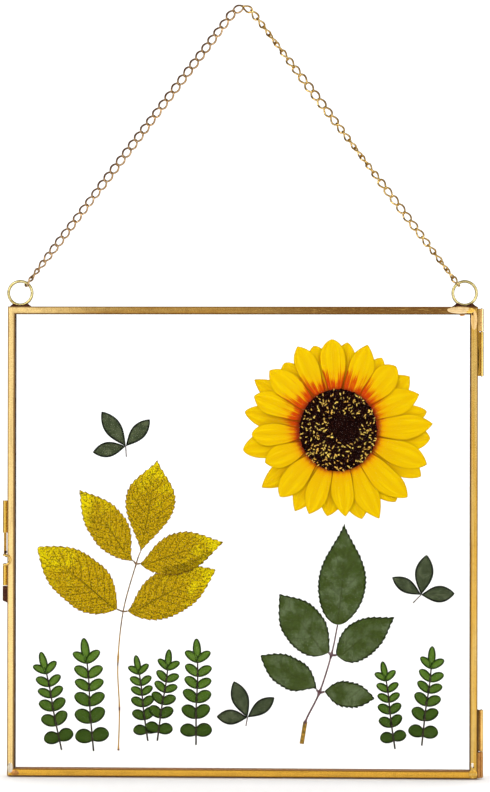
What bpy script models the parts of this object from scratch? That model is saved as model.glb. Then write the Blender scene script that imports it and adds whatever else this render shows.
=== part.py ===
"""Pressed flower frame.

Two square panes of glass in thin brass channel close on each other like a book, with pressed
plants between them. The back half hangs from a chain by two rings, the front half is a door on
two hinges, and a bent wire in two barrels keeps it shut.

X runs across the frame, Y away from the viewer and Z up. The origin is the hanging point of the
chain, and the two halves meet at Y = 0. Places on the face of the frame are given in millimetres
across and up from the middle of the frame.
"""

import math

import bmesh
import bpy
from mathutils import Matrix, Vector

MM = 0.001
GAP = 0.3 * MM                      # clearance between neighbouring solids
WELD = 0.00001                      # merge distance for the loose caps of a curve

# Brass channel and glass
FRAME_SIDE = 250 * MM
FRAME_TOP = -160 * MM               # the top edge, below the hanging point
CHANNEL_WIDTH = 4.0 * MM            # as seen from the front
CHANNEL_DEPTH = 4.0 * MM            # one half of the frame, front to back
CHANNEL_ROUNDING = 0.6 * MM
INNER_LIP = 0.8 * MM                # the lip on the side where the halves meet
GLASS_THICKNESS = 2.0 * MM
GLASS_SEAT = 2.5 * MM               # how far the glass reaches into the channel

# Rings, their solder and the chain
RING_RADIUS = 6.3 * MM              # to the middle of the wire
RING_WIRE = 0.775 * MM
LEFT_RING = -119.0 * MM             # from the middle of the frame
RIGHT_RING = 118.2 * MM
SOLDER_HEIGHT = 2.6 * MM
SOLDER_DEPTH = 3.2 * MM
LEFT_SOLDER = (-124.6 * MM, -113.0 * MM)
RIGHT_SOLDER = (111.4 * MM, 124.8 * MM)
SOLDER_TAPER = 0.78                 # the width at the top of the mound over that at its foot
LINK_PITCH = 5.34 * MM
LINK_LENGTH = 7.0 * MM
LINK_WIDTH = 4.8 * MM
LINK_WIRE = 0.5 * MM
LINK_TWIST = 45                     # each end of a link is turned this far, in degrees
LINK_SIDES = 6                      # straight stretches in a link, one of them across each end
LINKS_IN_RUN = 35
TOP_LINK_SLOPE = 25                 # the first link beside the hanging point, in degrees
TOP_LINK_RISE = 0.8 * MM            # its inner end above the hanging point
LEFT_RUN_TURNING = 6                # links by the left ring that turn to stand across it
RIGHT_RUN_TWIST = 180 / 14          # the right run turns this much with each link

# Hinges, on the right side
HINGE_OUT = 2.2 * MM                # axis from the side of the frame
HINGE_TUBE = 1.1 * MM
HINGE_BORE = 0.75 * MM
HINGE_PIN = 0.42 * MM
WEB_WIDTH = 1.5 * MM                # the solder between a tube and the side of the frame
WEB_DEPTH = 3.3 * MM
UPPER_HINGE = {"front": (-173.0 * MM, -161.0 * MM), "back": (-196.7 * MM, -173.3 * MM)}
LOWER_HINGE = {"front": (-409.8 * MM, -396.2 * MM), "back": (-395.9 * MM, -374.0 * MM)}

# Clasp, on the left side
CLASP_OUT = 1.8 * MM
CLASP_Y = 1.6 * MM
CLASP_TUBE = 1.25 * MM
CLASP_BORE = 0.9 * MM
CLASP_WIRE = 0.6 * MM
CLASP_WEB_DEPTH = 1.6 * MM
UPPER_BARREL = (-280.7 * MM, -263.6 * MM)
LOWER_BARREL = (-308.9 * MM, -298.4 * MM)
CLASP_FOOT = (-318.3 * MM, -309.2 * MM)
WIRE_TOP = -265.0 * MM
WIRE_BOTTOM = -308.0 * MM
CRANK_TOP = -292.4 * MM
CRANK_RADIUS = 2.55 * MM
CRANK_REACH = 0.9 * MM              # centre of the crank's round end, from the wire's axis
CRANK_CORNER = 1.0 * MM

# Pressed plants
LEAF_THICKNESS = 0.4 * MM
STALK_RADIUS = 0.45 * MM
STEM_WIDTH = 0.9 * MM               # the flat stems of the small sprigs
THREE_LEAF_STALK = 1.1 * MM
SUNFLOWER_PLACE = (51.0, 59.4)
DISC_RADIUS = 21.0 * MM
DISC_STRETCH = 1.06                 # the disc is a little taller than wide
HUB_RADIUS = 17.0 * MM
PETAL_ROOT = 14.0                   # mm from the middle of the flower
PETAL_WIDTH = 12.5                  # mm

# Petals as (direction in degrees, reach in mm), anticlockwise from the right
FRONT_PETALS = [
    (94, 48.5), (116, 49.5), (139, 48.4), (158, 48.3), (183, 46.1), (204, 42.6), (229, 47.0),
    (251, 47.3), (275, 46.1), (295, 51.8), (316, 51.2), (339, 50.5), (4, 50.4), (24, 47.1),
    (48, 45.8), (71, 48.1),
]
BACK_PETALS = [
    (106, 46.7), (129, 45.8), (149, 52.1), (169, 50.6), (192, 51.7), (217, 50.9), (242, 48.9),
    (263, 46.1), (285, 48.9), (309, 48.8), (331, 50.4), (355, 49.1), (12, 48.1), (37, 47.6),
    (59, 45.0), (84, 47.0),
]

# Compound leaves: the stalk from its foot to its tip, the two pairs of side stalks, and each
# leaflet as (where it joins, tip, width), all in mm on the face of the frame
YELLOW_LEAF = {
    "stalk": [(-65.8, -111.6), (-65.3, -89.3), (-66.2, -65.6), (-63.4, -37.5), (-56.5, -12.1),
              (-54.2, -5.5)],
    "pairs": [[(-66.7, -36.3), (-63.4, -37.5), (-61.1, -37.3)],
              [(-57.9, -10.5), (-56.5, -12.1), (-54.4, -11.9)]],
    "leaflets": {"tip": ((-54.2, -5.5), (-45.3, 43.2), 25.7),
                 "upper_left": ((-57.9, -10.5), (-86.9, 27.1), 20.2),
                 "upper_right": ((-54.4, -11.9), (-9.9, -0.3), 20.6),
                 "lower_left": ((-66.7, -36.3), (-109.1, -3.6), 26.4),
                 "lower_right": ((-61.1, -37.3), (-14.2, -15.1), 23.7)},
}
GREEN_LEAF = {
    "stalk": [(31.9, -107.5), (33.8, -95.9), (41.3, -80.2), (47.6, -60.2), (50.9, -44.2)],
    "pairs": [[(39.8, -78.8), (41.3, -80.2), (43.9, -79.8)],
              [(46.2, -58.9), (47.6, -60.2), (50.4, -60.3)]],
    "leaflets": {"tip": ((50.9, -44.2), (54.3, 9.9), 25.2),
                 "upper_left": ((46.2, -58.9), (19.9, -28.0), 21.2),
                 "upper_right": ((50.4, -60.3), (81.1, -40.0), 19.2),
                 "lower_left": ((39.8, -78.8), (10.0, -60.8), 15.8),
                 "lower_right": ((43.9, -79.8), (70.5, -83.2), 13.6)},
}
# Blade forms: where it is widest from its base, how slender its ends are, how drawn out its tip
YELLOW_TIP_BLADE = (0.57, 0.8, 0.8)
YELLOW_SIDE_BLADE = (0.47, 0.65, 0.5)
GREEN_BLADE = (0.39, 1.0, 0.0)
THREE_LEAF_BLADE = (0.55, 0.85, 0.0)
ROUND_BLADE = (0.55, 0.62, 0.0)
PETAL_BLADE = (0.62, 0.55, 0.0)
POINT_START = 0.6                   # a drawn-out tip starts here along the blade

# Three-leaf sprigs: joint, foot of the stalk, and each leaflet as (tip, width)
THREE_LEAF_SPRIGS = {
    "left": ((-62.2, 50.6), (-61.9, 44.9),
             [((-75.1, 69.0), 8.5), ((-49.4, 64.9), 7.5), ((-79.8, 47.3), 7.5)]),
    "right": ((95.2, -28.0), (90.9, -32.4),
              [((98.2, -6.8), 9.1), ((79.9, -18.8), 6.9), ((113.0, -27.3), 8.3)]),
    "middle": ((3.0, -93.7), (2.2, -98.3),
               [((-4.3, -74.5), 8.5), ((17.3, -83.0), 6.9), ((-13.4, -93.4), 7.5)]),
}

# Small sprigs as (tip, foot of the stem)
SMALL_SPRIGS = [
    ((-107.5, -59.3), (-96.2, -111.6)),
    ((-84.6, -51.8), (-79.1, -112.1)),
    ((-56.7, -60.8), (-50.1, -106.5)),
    ((-38.8, -57.5), (-45.0, -106.3)),
    ((-24.3, -51.8), (-24.4, -108.5)),
    ((74.7, -63.5), (81.5, -110.0)),
    ((101.2, -55.3), (95.7, -108.1)),
]
TIP_LEAF_SHARE = 0.218              # the tip leaf takes this share of a sprig's height
STEM_BOW = 0.014                    # how far a stem bows to the right, over its height
# Pairs of leaves from the top: (place down the stem, length, width) over the sprig's height,
# then the left and the right leaf's slope above the level, in degrees
SPRIG_PAIRS = [
    (0.218, 0.148, 0.075, 39, 38),
    (0.347, 0.148, 0.084, 40, 31),
    (0.460, 0.146, 0.084, 38, 29),
    (0.590, 0.156, 0.100, 39, 31),
    (0.738, 0.158, 0.112, 35, 39),
    (0.886, 0.150, 0.125, 12, 14),
]

FRAME_HALF = FRAME_SIDE / 2
FRAME_MIDDLE = FRAME_TOP - FRAME_HALF
GLASS_HALF = FRAME_HALF - CHANNEL_WIDTH + GLASS_SEAT
CHANNEL_Y = (GAP + CHANNEL_DEPTH) / 2                 # middle of one half's depth
GLASS_FACE = GAP / 2 + INNER_LIP + GAP                # inner face of a pane
GLASS_Y = GLASS_FACE + GLASS_THICKNESS / 2
BACK_LAYER = GLASS_FACE - GAP - LEAF_THICKNESS / 2    # plants lie against the back pane
LAYER_STEP = LEAF_THICKNESS + GAP
FRONT_LAYER = BACK_LAYER - LAYER_STEP                 # and on each other
TOP_LAYER = FRONT_LAYER - LAYER_STEP
STALK_Y = GLASS_FACE - GAP - STALK_RADIUS
RING_HEIGHT = FRAME_TOP + GAP + RING_WIRE + RING_RADIUS
HINGE_X = FRAME_HALF + HINGE_OUT
CLASP_X = -FRAME_HALF - CLASP_OUT


def empty_scene():
    """Remove what the start-up file holds."""
    for item in list(bpy.data.objects):
        bpy.data.objects.remove(item)


def new_collection(name):
    collection = bpy.data.collections.new(name)
    bpy.context.scene.collection.children.link(collection)
    return collection


def new_material(name, colour, roughness, metallic=0.0, transmission=0.0):
    material = bpy.data.materials.new(name)
    material.use_nodes = True
    shader = material.node_tree.nodes["Principled BSDF"]
    shader.inputs["Base Color"].default_value = (*colour, 1.0)
    shader.inputs["Roughness"].default_value = roughness
    shader.inputs["Metallic"].default_value = metallic
    shader.inputs["Transmission Weight"].default_value = transmission
    material.diffuse_color = (*colour, 1.0)
    return material


def on_face(place, y):
    """A place on the frame's face, given in mm, as a point in the model."""
    return Vector((place[0] * MM, y, FRAME_MIDDLE + place[1] * MM))


# Solids

def add_object(name, mesh, location=(0, 0, 0)):
    item = bpy.data.objects.new(name, mesh)
    item.location = location
    CUTTERS.objects.link(item)
    return item


def mesh_from(name, shape):
    mesh = bpy.data.meshes.new(name)
    shape.to_mesh(mesh)
    shape.free()
    return mesh


def block(name, low, high):
    """A box between two corners, with its origin in its middle."""
    low, high = Vector(low), Vector(high)
    shape = bmesh.new()
    bmesh.ops.create_cube(shape, size=1.0)
    bmesh.ops.scale(shape, vec=high - low, verts=shape.verts)
    return add_object(name, mesh_from(name, shape), (low + high) / 2)


def upright_cylinder(name, x, y, span, radius, segments=10):
    shape = bmesh.new()
    bmesh.ops.create_cone(shape, cap_ends=True, segments=segments, radius1=radius, radius2=radius,
                          depth=span[1] - span[0])
    return add_object(name, mesh_from(name, shape), (x, y, (span[0] + span[1]) / 2))


def curve_to_solid(item):
    """Put a closed mesh in the place of a filled curve."""
    bpy.context.view_layer.update()
    evaluated = item.evaluated_get(bpy.context.evaluated_depsgraph_get())
    mesh = bpy.data.meshes.new_from_object(evaluated)
    shape = bmesh.new()
    shape.from_mesh(mesh)
    bmesh.ops.remove_doubles(shape, verts=shape.verts, dist=WELD)
    bmesh.ops.recalc_face_normals(shape, faces=shape.faces)
    shape.to_mesh(mesh)
    shape.free()
    name, place = item.name, item.matrix_world.copy()
    bpy.data.objects.remove(item)
    solid = add_object(name, mesh)
    solid.matrix_world = place
    return solid


def add_spline(curve, points, closed, radii=None):
    spline = curve.splines.new("POLY")
    spline.points.add(len(points) - 1)
    for index, point in enumerate(points):
        spline.points[index].co = (*point, 1.0)
        if radii:
            spline.points[index].radius = radii[index]
    spline.use_cyclic_u = closed


def sheet(name, outlines, y, thickness):
    """Flat outlines on the face of the frame, given as lists of places in mm, made solid."""
    curve = bpy.data.curves.new(name, "CURVE")
    curve.dimensions = "2D"
    curve.fill_mode = "BOTH"
    curve.extrude = thickness / 2
    for outline in outlines:
        add_spline(curve, [(x * MM, z * MM, 0) for x, z in outline], True)
    item = add_object(name, curve, (0, y, FRAME_MIDDLE))
    item.rotation_euler = (math.radians(90), 0, 0)
    return curve_to_solid(item)


def wire(name, runs, radius, sides=1, closed=False, radii=None):
    """Round wires along lists of points; sides is the curve's bevel resolution."""
    curve = bpy.data.curves.new(name, "CURVE")
    curve.dimensions = "3D"
    curve.bevel_depth = radius
    curve.bevel_resolution = sides
    curve.use_fill_caps = True
    for points in runs:
        add_spline(curve, points, closed, radii)
    return curve_to_solid(add_object(name, curve))


def combine(item, other, operation):
    """Add another solid to an object, or cut it away. The other one stays as a guide."""
    other.hide_render = True
    other.display_type = "WIRE"
    step = item.modifiers.new(operation.title(), "BOOLEAN")
    step.operation = operation
    step.solver = "EXACT"
    step.object = other


def finish(item, material, smooth=35):
    """Give an object its finish and move it from the guides to the parts."""
    CUTTERS.objects.unlink(item)
    PARTS.objects.link(item)
    item.data.materials.clear()
    item.data.materials.append(material)
    item.data.shade_smooth()
    item.data.set_sharp_from_angle(angle=math.radians(smooth))
    return item


def hang_on(axis, *items):
    """Parent pieces that turn to the empty on their axis."""
    for item in items:
        item.parent = axis
        item.location -= axis.location


# Frame, glass, rings and chain

def mitred_bar(name, y):
    """The top side of one half, still full: mitred ends and rounded long edges."""
    half, inner = FRAME_HALF - GAP / 2, FRAME_HALF - CHANNEL_WIDTH
    shape = bmesh.new()
    bmesh.ops.create_cube(shape, size=1.0)
    for vertex in shape.verts:
        above = vertex.co.z > 0
        reach = half if above else inner - GAP / 2
        vertex.co.x = math.copysign(reach, vertex.co.x)
        vertex.co.y *= CHANNEL_DEPTH
        vertex.co.z = FRAME_HALF if above else inner
    weight = shape.edges.layers.float.new("bevel_weight_edge")
    for edge in shape.edges:
        first, second = edge.verts
        edge[weight] = float(first.co.x * second.co.x < 0)
    bar = add_object(name, mesh_from(name, shape), (0, y, FRAME_MIDDLE))
    rounding = bar.modifiers.new("Rounding", "BEVEL")
    rounding.limit_method = "WEIGHT"
    rounding.width = CHANNEL_ROUNDING
    rounding.segments = 1
    return bar


def make_half(half, side, brass, glass):
    """Four channels and the pane in their groove; side is 1 for the back and -1 for the front."""
    reach, depth = GLASS_HALF + GAP, GLASS_THICKNESS / 2 + GAP
    groove = block(half + "_groove", (-reach, side * GLASS_Y - depth, FRAME_MIDDLE - reach),
                   (reach, side * GLASS_Y + depth, FRAME_MIDDLE + reach))
    pieces = []
    for index, name in enumerate(("top", "right", "bottom", "left")):
        bar = mitred_bar(f"{half}_frame_{name}", side * CHANNEL_Y)
        bar.rotation_euler = (0, math.radians(90 * index), 0)
        combine(bar, groove, "DIFFERENCE")
        pieces.append(finish(bar, brass))
    pane = block(half + "_glass",
                 (-GLASS_HALF, side * GLASS_Y - GLASS_THICKNESS / 2, FRAME_MIDDLE - GLASS_HALF),
                 (GLASS_HALF, side * GLASS_Y + GLASS_THICKNESS / 2, FRAME_MIDDLE + GLASS_HALF))
    pieces.append(finish(pane, glass))
    return pieces


def ring(name, x, wire_radius):
    bpy.ops.mesh.primitive_torus_add(major_segments=20, minor_segments=6, major_radius=RING_RADIUS,
                                     minor_radius=wire_radius)
    made = bpy.context.object
    item = add_object(name, made.data, (x, CHANNEL_Y, RING_HEIGHT))
    item.rotation_euler = (math.radians(90), 0, 0)
    bpy.data.objects.remove(made)
    return item


def ring_solder(name, span, x):
    """A mound with sloping ends on the top edge, cut to fit round the ring."""
    foot = FRAME_TOP + GAP
    mound = block(name, (span[0], CHANNEL_Y - SOLDER_DEPTH / 2, foot),
                  (span[1], CHANNEL_Y + SOLDER_DEPTH / 2, foot + SOLDER_HEIGHT))
    for vertex in mound.data.vertices:
        if vertex.co.z > 0:
            vertex.co.x *= SOLDER_TAPER
            vertex.co.y *= SOLDER_TAPER
    combine(mound, ring(name + "_clearance", x, RING_WIRE + GAP), "DIFFERENCE")
    return mound


def link_mesh():
    """One link: an oval of wire whose two ends are turned against each other."""
    half_step = math.pi / LINK_SIDES
    length = (LINK_LENGTH / 2 - LINK_WIRE) / math.cos(half_step)
    width = LINK_WIDTH / 2 - LINK_WIRE
    points = []
    for step in range(LINK_SIDES):
        angle = half_step * (2 * step + 1)
        turn = math.radians(LINK_TWIST) * math.cos(angle)
        across = width * math.sin(angle)
        points.append((length * math.cos(angle), across * math.cos(turn), across * math.sin(turn)))
    link = wire("link", [points], LINK_WIRE, sides=0, closed=True)
    mesh = link.data
    bpy.data.objects.remove(link)
    return mesh


def link_places(side):
    """Where the links of one run lie, from the hanging point to the ring."""
    slope = math.radians(TOP_LINK_SLOPE)
    outward = Vector((side * math.cos(slope), 0, -math.sin(slope)))
    start = outward * (LINK_LENGTH / 2 + GAP) + Vector((0, 0, TOP_LINK_RISE))
    bend = start + outward * LINK_PITCH / 2
    ring_middle = Vector((LEFT_RING if side < 0 else RIGHT_RING, CHANNEL_Y, RING_HEIGHT))
    touch = ring_middle + (bend - ring_middle).normalized() * RING_RADIUS
    along = (touch - bend).normalized()
    hold = LINK_LENGTH / 2 - 2 * LINK_WIRE - GAP - RING_WIRE     # ring wire from the link's middle
    last = touch - along * hold
    pitch = (last - bend).length / (LINKS_IN_RUN - 1.5)
    places = [(start, outward)]
    for index in range(LINKS_IN_RUN - 1):
        places.append((bend + along * pitch * (index + 0.5), along))
    return places


def left_run_roll(left):
    """Links lie flat to the viewer, but by the ring they turn until the last stands across it."""
    return 90 * max(0, 1 - left / LEFT_RUN_TURNING) ** 1.5


def right_run_roll(left):
    """Each link is turned against the next one, and the last stands across the ring."""
    return 90 + RIGHT_RUN_TWIST * left


def chain_run(name, side, roll_of):
    """The links of one run in two sets that pass through each other and are fused."""
    link = link_mesh()
    sets = [bmesh.new(), bmesh.new()]
    places = link_places(side)
    for index, (place, along) in enumerate(places):
        left = len(places) - 1 - index                # links between this one and the ring
        roll = math.radians(roll_of(left))
        normal = Vector((0, 1, 0))
        across = along.cross(normal).normalized()
        normal = across.cross(along)
        turned = Matrix((along, across, normal)).transposed().to_4x4()
        shape = sets[index % 2]
        count = len(shape.verts)
        shape.from_mesh(link)
        shape.verts.ensure_lookup_table()
        matrix = Matrix.Translation(place) @ turned @ Matrix.Rotation(roll, 4, "X")
        bmesh.ops.transform(shape, matrix=matrix, verts=shape.verts[count:])
    run = add_object(name, mesh_from(name, sets[0]))
    others = add_object(name + "_other_links", mesh_from(name + "_other_links", sets[1]))
    combine(run, others, "UNION")
    return run


# Hinges and clasp

def knuckle(name, span, side):
    """A tube on the hinge axis and the solder that joins it to one half's side."""
    x = FRAME_HALF + GAP
    near, far = sorted((side * GAP, side * (GAP + WEB_DEPTH)))
    item = upright_cylinder(name, HINGE_X, 0, span, HINGE_TUBE)
    web = block(name + "_web", (x, near, span[0]), (x + WEB_WIDTH, far, span[1]))
    bore_span = (span[0] - MM, span[1] + MM)
    bore = upright_cylinder(name + "_bore", HINGE_X, 0, bore_span, HINGE_BORE)
    combine(item, web, "UNION")
    combine(item, bore, "DIFFERENCE")
    return item


def make_hinge(name, spans, door, brass):
    front = finish(knuckle(name + "_front_knuckle", spans["front"], -1), brass)
    finish(knuckle(name + "_back_knuckle", spans["back"], 1), brass)
    low = min(spans["front"][0], spans["back"][0])
    high = max(spans["front"][1], spans["back"][1])
    pin = upright_cylinder(name + "_pin", HINGE_X, 0, (low - GAP, high + GAP), HINGE_PIN, 8)
    finish(pin, brass)
    hang_on(door, front)


def barrel(name, span):
    """A tube on the clasp's axis and the solder that joins it to the back half's side."""
    item = upright_cylinder(name, CLASP_X, CLASP_Y, span, CLASP_TUBE)
    web = block(name + "_web", (CLASP_X, CLASP_Y - CLASP_WEB_DEPTH / 2, span[0]),
                (-FRAME_HALF - GAP, CLASP_Y + CLASP_WEB_DEPTH / 2, span[1]))
    bore_span = (span[0] - MM, span[1] + MM)
    bore = upright_cylinder(name + "_bore", CLASP_X, CLASP_Y, bore_span, CLASP_BORE)
    combine(item, web, "UNION")
    combine(item, bore, "DIFFERENCE")
    return item


def rounded_path(points, radius, steps=3):
    """The same path with each corner replaced by a short curve."""
    points = [Vector(point) for point in points]
    path = [points[0]]
    for before, corner, after in zip(points, points[1:], points[2:]):
        start = corner + (before - corner).normalized() * radius
        end = corner + (after - corner).normalized() * radius
        for step in range(steps + 1):
            share = step / steps
            path.append(start.lerp(corner, share).lerp(corner.lerp(end, share), share))
    path.append(points[-1])
    return path


def clasp_wire(name):
    """A wire that stands in the two barrels, with a crank round the front half's edge."""
    front = -CLASP_Y - CHANNEL_DEPTH - GAP / 2 - GAP - CLASP_WIRE
    bottom = CRANK_TOP - 2 * CRANK_RADIUS
    upper_arm = rounded_path([(0, 0, WIRE_TOP), (0, 0, CRANK_TOP), (0, front, CRANK_TOP),
                              (CRANK_REACH, front, CRANK_TOP)], CRANK_CORNER * 0.8)
    lower_arm = rounded_path([(CRANK_REACH, front, bottom), (0, front, bottom), (0, 0, bottom),
                              (0, 0, WIRE_BOTTOM)], CRANK_CORNER * 0.8)
    round_end = []
    for step in range(1, 6):
        angle = math.radians(90 - 30 * step)
        round_end.append(Vector((CRANK_REACH + CRANK_RADIUS * math.cos(angle), front,
                                 CRANK_TOP - CRANK_RADIUS * (1 - math.sin(angle)))))
    item = wire(name, [upper_arm + round_end + lower_arm], CLASP_WIRE)
    item.location = (CLASP_X, CLASP_Y, 0)
    return item


def clasp_foot(name):
    """The lump of solder under the lower barrel, sloping at its foot."""
    low, high = CLASP_FOOT
    depth = CLASP_WEB_DEPTH / 2
    foot = block(name, (CLASP_X - CLASP_TUBE, CLASP_Y - depth, low),
                 (-FRAME_HALF - GAP, CLASP_Y + depth, high))
    for vertex in foot.data.vertices:
        if vertex.co.z < 0 and vertex.co.x < 0:
            vertex.co.z += CLASP_TUBE
    return foot


# Pressed plants

def blade(base, tip, width, form, points=8, lean=0.5):
    """Outline of a leaf or petal from its base to its tip and back, in mm.

    form is one of the blade forms, and lean is the share of the width on the left of the line
    from base to tip.
    """
    base, tip = Vector(base), Vector(tip)
    along = tip - base
    across = Vector((-along.y, along.x)).normalized()
    widest, slender, point = form
    power = math.log(0.5) / math.log(widest)
    left, right = [], []
    for step in range(1, points + 1):
        share = (1 - math.cos(math.pi * step / (points + 1))) / 2
        spread = width * math.sin(math.pi * share ** power) ** slender
        spread *= 1 - point * max(0.0, (share - POINT_START) / (1 - POINT_START)) ** 2
        middle = base + along * share
        left.append(middle + across * spread * lean)
        right.append(middle - across * spread * (1 - lean))
    return [base, *right, tip, *reversed(left)]


def toward(start, end, distance):
    """The point at a distance from the start on the way to the end, all in mm."""
    start, end = Vector(start), Vector(end)
    return start + (end - start).normalized() * distance


def make_compound_leaf(name, leaf, forms, front_leaflets, stalk_finish, blade_finish):
    """A stalk with side stalks, and five leaflets that start just clear of them."""
    def at_depth(places):
        return [on_face(place, STALK_Y) for place in places]

    thickness = [1.0] * (len(leaf["stalk"]) - 2) + [0.75, 0.65]
    stalk = wire(name + "_stem", [at_depth(leaf["stalk"])], STALK_RADIUS, radii=thickness)
    sides = wire(name + "_side_stalks", [at_depth(pair) for pair in leaf["pairs"]],
                 STALK_RADIUS * 0.6)
    combine(stalk, sides, "UNION")
    finish(stalk, stalk_finish)
    clear = GAP / MM
    for which, (joint, tip, width) in leaf["leaflets"].items():
        y = FRONT_LAYER if which in front_leaflets else BACK_LAYER
        form = forms[0] if which == "tip" else forms[1]
        outline = blade(toward(joint, tip, clear), tip, width, form)
        finish(sheet(f"{name}let_{which}", [outline], y, LEAF_THICKNESS), blade_finish)


def strip(start, end, width):
    """Outline of a straight flat stalk, in mm."""
    start, end = Vector(start), Vector(end)
    along = end - start
    across = Vector((-along.y, along.x)).normalized() * width / 2
    return [start + across, start - across, end - across, end + across]


def make_three_leaf_sprig(name, joint, foot, leaflets, material):
    """Three leaflets from one joint, fused with their stalk."""
    item = sheet(name, [strip(toward(joint, foot, -1), foot, THREE_LEAF_STALK / MM)], BACK_LAYER,
                 LEAF_THICKNESS)
    for index, (tip, width) in enumerate(leaflets):
        outline = blade(joint, tip, width, THREE_LEAF_BLADE, points=5)
        thinner = LEAF_THICKNESS * (0.96 - 0.04 * index)
        combine(item, sheet(f"{name}_leaf_{index}", [outline], BACK_LAYER, thinner), "UNION")
    return finish(item, material)


def make_small_sprig(name, tip, foot, y, material):
    """A stem with its tip leaf, and six pairs of round leaves, all fused."""
    tip, foot = Vector(tip), Vector(foot)
    down = foot - tip
    height = down.length
    right = Vector((-down.y, down.x)).normalized()
    up = -down.normalized()

    def on_stem(share):
        bow = STEM_BOW * math.sin(math.pi * min(share * 1.6, 1.0))
        return tip + down * share + right * bow * height

    half = right * STEM_WIDTH / MM / 2
    shares = (TIP_LEAF_SHARE, 0.46, 0.738, 1.0)
    stem = [on_stem(share) + half for share in shares]
    stem += [on_stem(share) - half for share in reversed(shares)]
    tip_leaf = blade(on_stem(TIP_LEAF_SHARE + 0.02), tip, height * 0.066, ROUND_BLADE, points=3)
    sides = {-1: [], 1: []}
    for place, length, width, *slopes in SPRIG_PAIRS:
        joint = on_stem(place)
        for side, slope in zip((-1, 1), slopes):
            slope = math.radians(slope)
            reach = right * side * math.cos(slope) + up * math.sin(slope)
            start = joint - reach * 0.3
            outline = blade(start, joint + reach * length * height, width * height, ROUND_BLADE,
                            points=3, lean=0.5 + side * 0.08)
            sides[side].append(outline)
    item = sheet(name, [stem], y, LEAF_THICKNESS)
    combine(item, sheet(name + "_tip_leaf", [tip_leaf], y, LEAF_THICKNESS * 0.96), "UNION")
    combine(item, sheet(name + "_left_leaves", sides[-1], y, LEAF_THICKNESS * 0.92), "UNION")
    combine(item, sheet(name + "_right_leaves", sides[1], y, LEAF_THICKNESS * 0.88), "UNION")
    return finish(item, material)


def flat_disc(name, radius, y, thickness, segments, edge=1.0):
    """A disc on the sunflower's middle; edge narrows the face towards the viewer."""
    shape = bmesh.new()
    bmesh.ops.create_cone(shape, cap_ends=True, segments=segments, radius1=radius,
                          radius2=radius * edge, depth=thickness)
    item = add_object(name, mesh_from(name, shape), on_face(SUNFLOWER_PLACE, y))
    item.rotation_euler = (math.radians(90), 0, 0)
    return item


def make_petals(name, petals, y, material):
    """A ring of petals fused with the hub that they grow from."""
    middle = Vector(SUNFLOWER_PLACE)
    outlines = []
    for direction, reach in petals:
        angle = math.radians(direction)
        ray = Vector((math.cos(angle), math.sin(angle)))
        outlines.append(blade(middle + ray * PETAL_ROOT, middle + ray * reach, PETAL_WIDTH,
                              PETAL_BLADE, points=3))
    item = flat_disc(name, HUB_RADIUS, y, LEAF_THICKNESS, 16)
    combine(item, sheet(name + "_even", outlines[0::2], y, LEAF_THICKNESS * 0.96), "UNION")
    combine(item, sheet(name + "_odd", outlines[1::2], y, LEAF_THICKNESS * 0.92), "UNION")
    return finish(item, material)


def make_sunflower(petal_finish, disc_finish):
    make_petals("sunflower_back_petals", BACK_PETALS, BACK_LAYER, petal_finish)
    make_petals("sunflower_front_petals", FRONT_PETALS, FRONT_LAYER, petal_finish)
    disc = flat_disc("sunflower_disc", DISC_RADIUS, TOP_LAYER, LEAF_THICKNESS, 24, edge=0.96)
    disc.scale = (1.0, DISC_STRETCH, 1.0)
    finish(disc, disc_finish)


def turning_axis(name, place):
    axis = bpy.data.objects.new(name, None)
    axis.location = place
    PARTS.objects.link(axis)
    return axis


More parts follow.
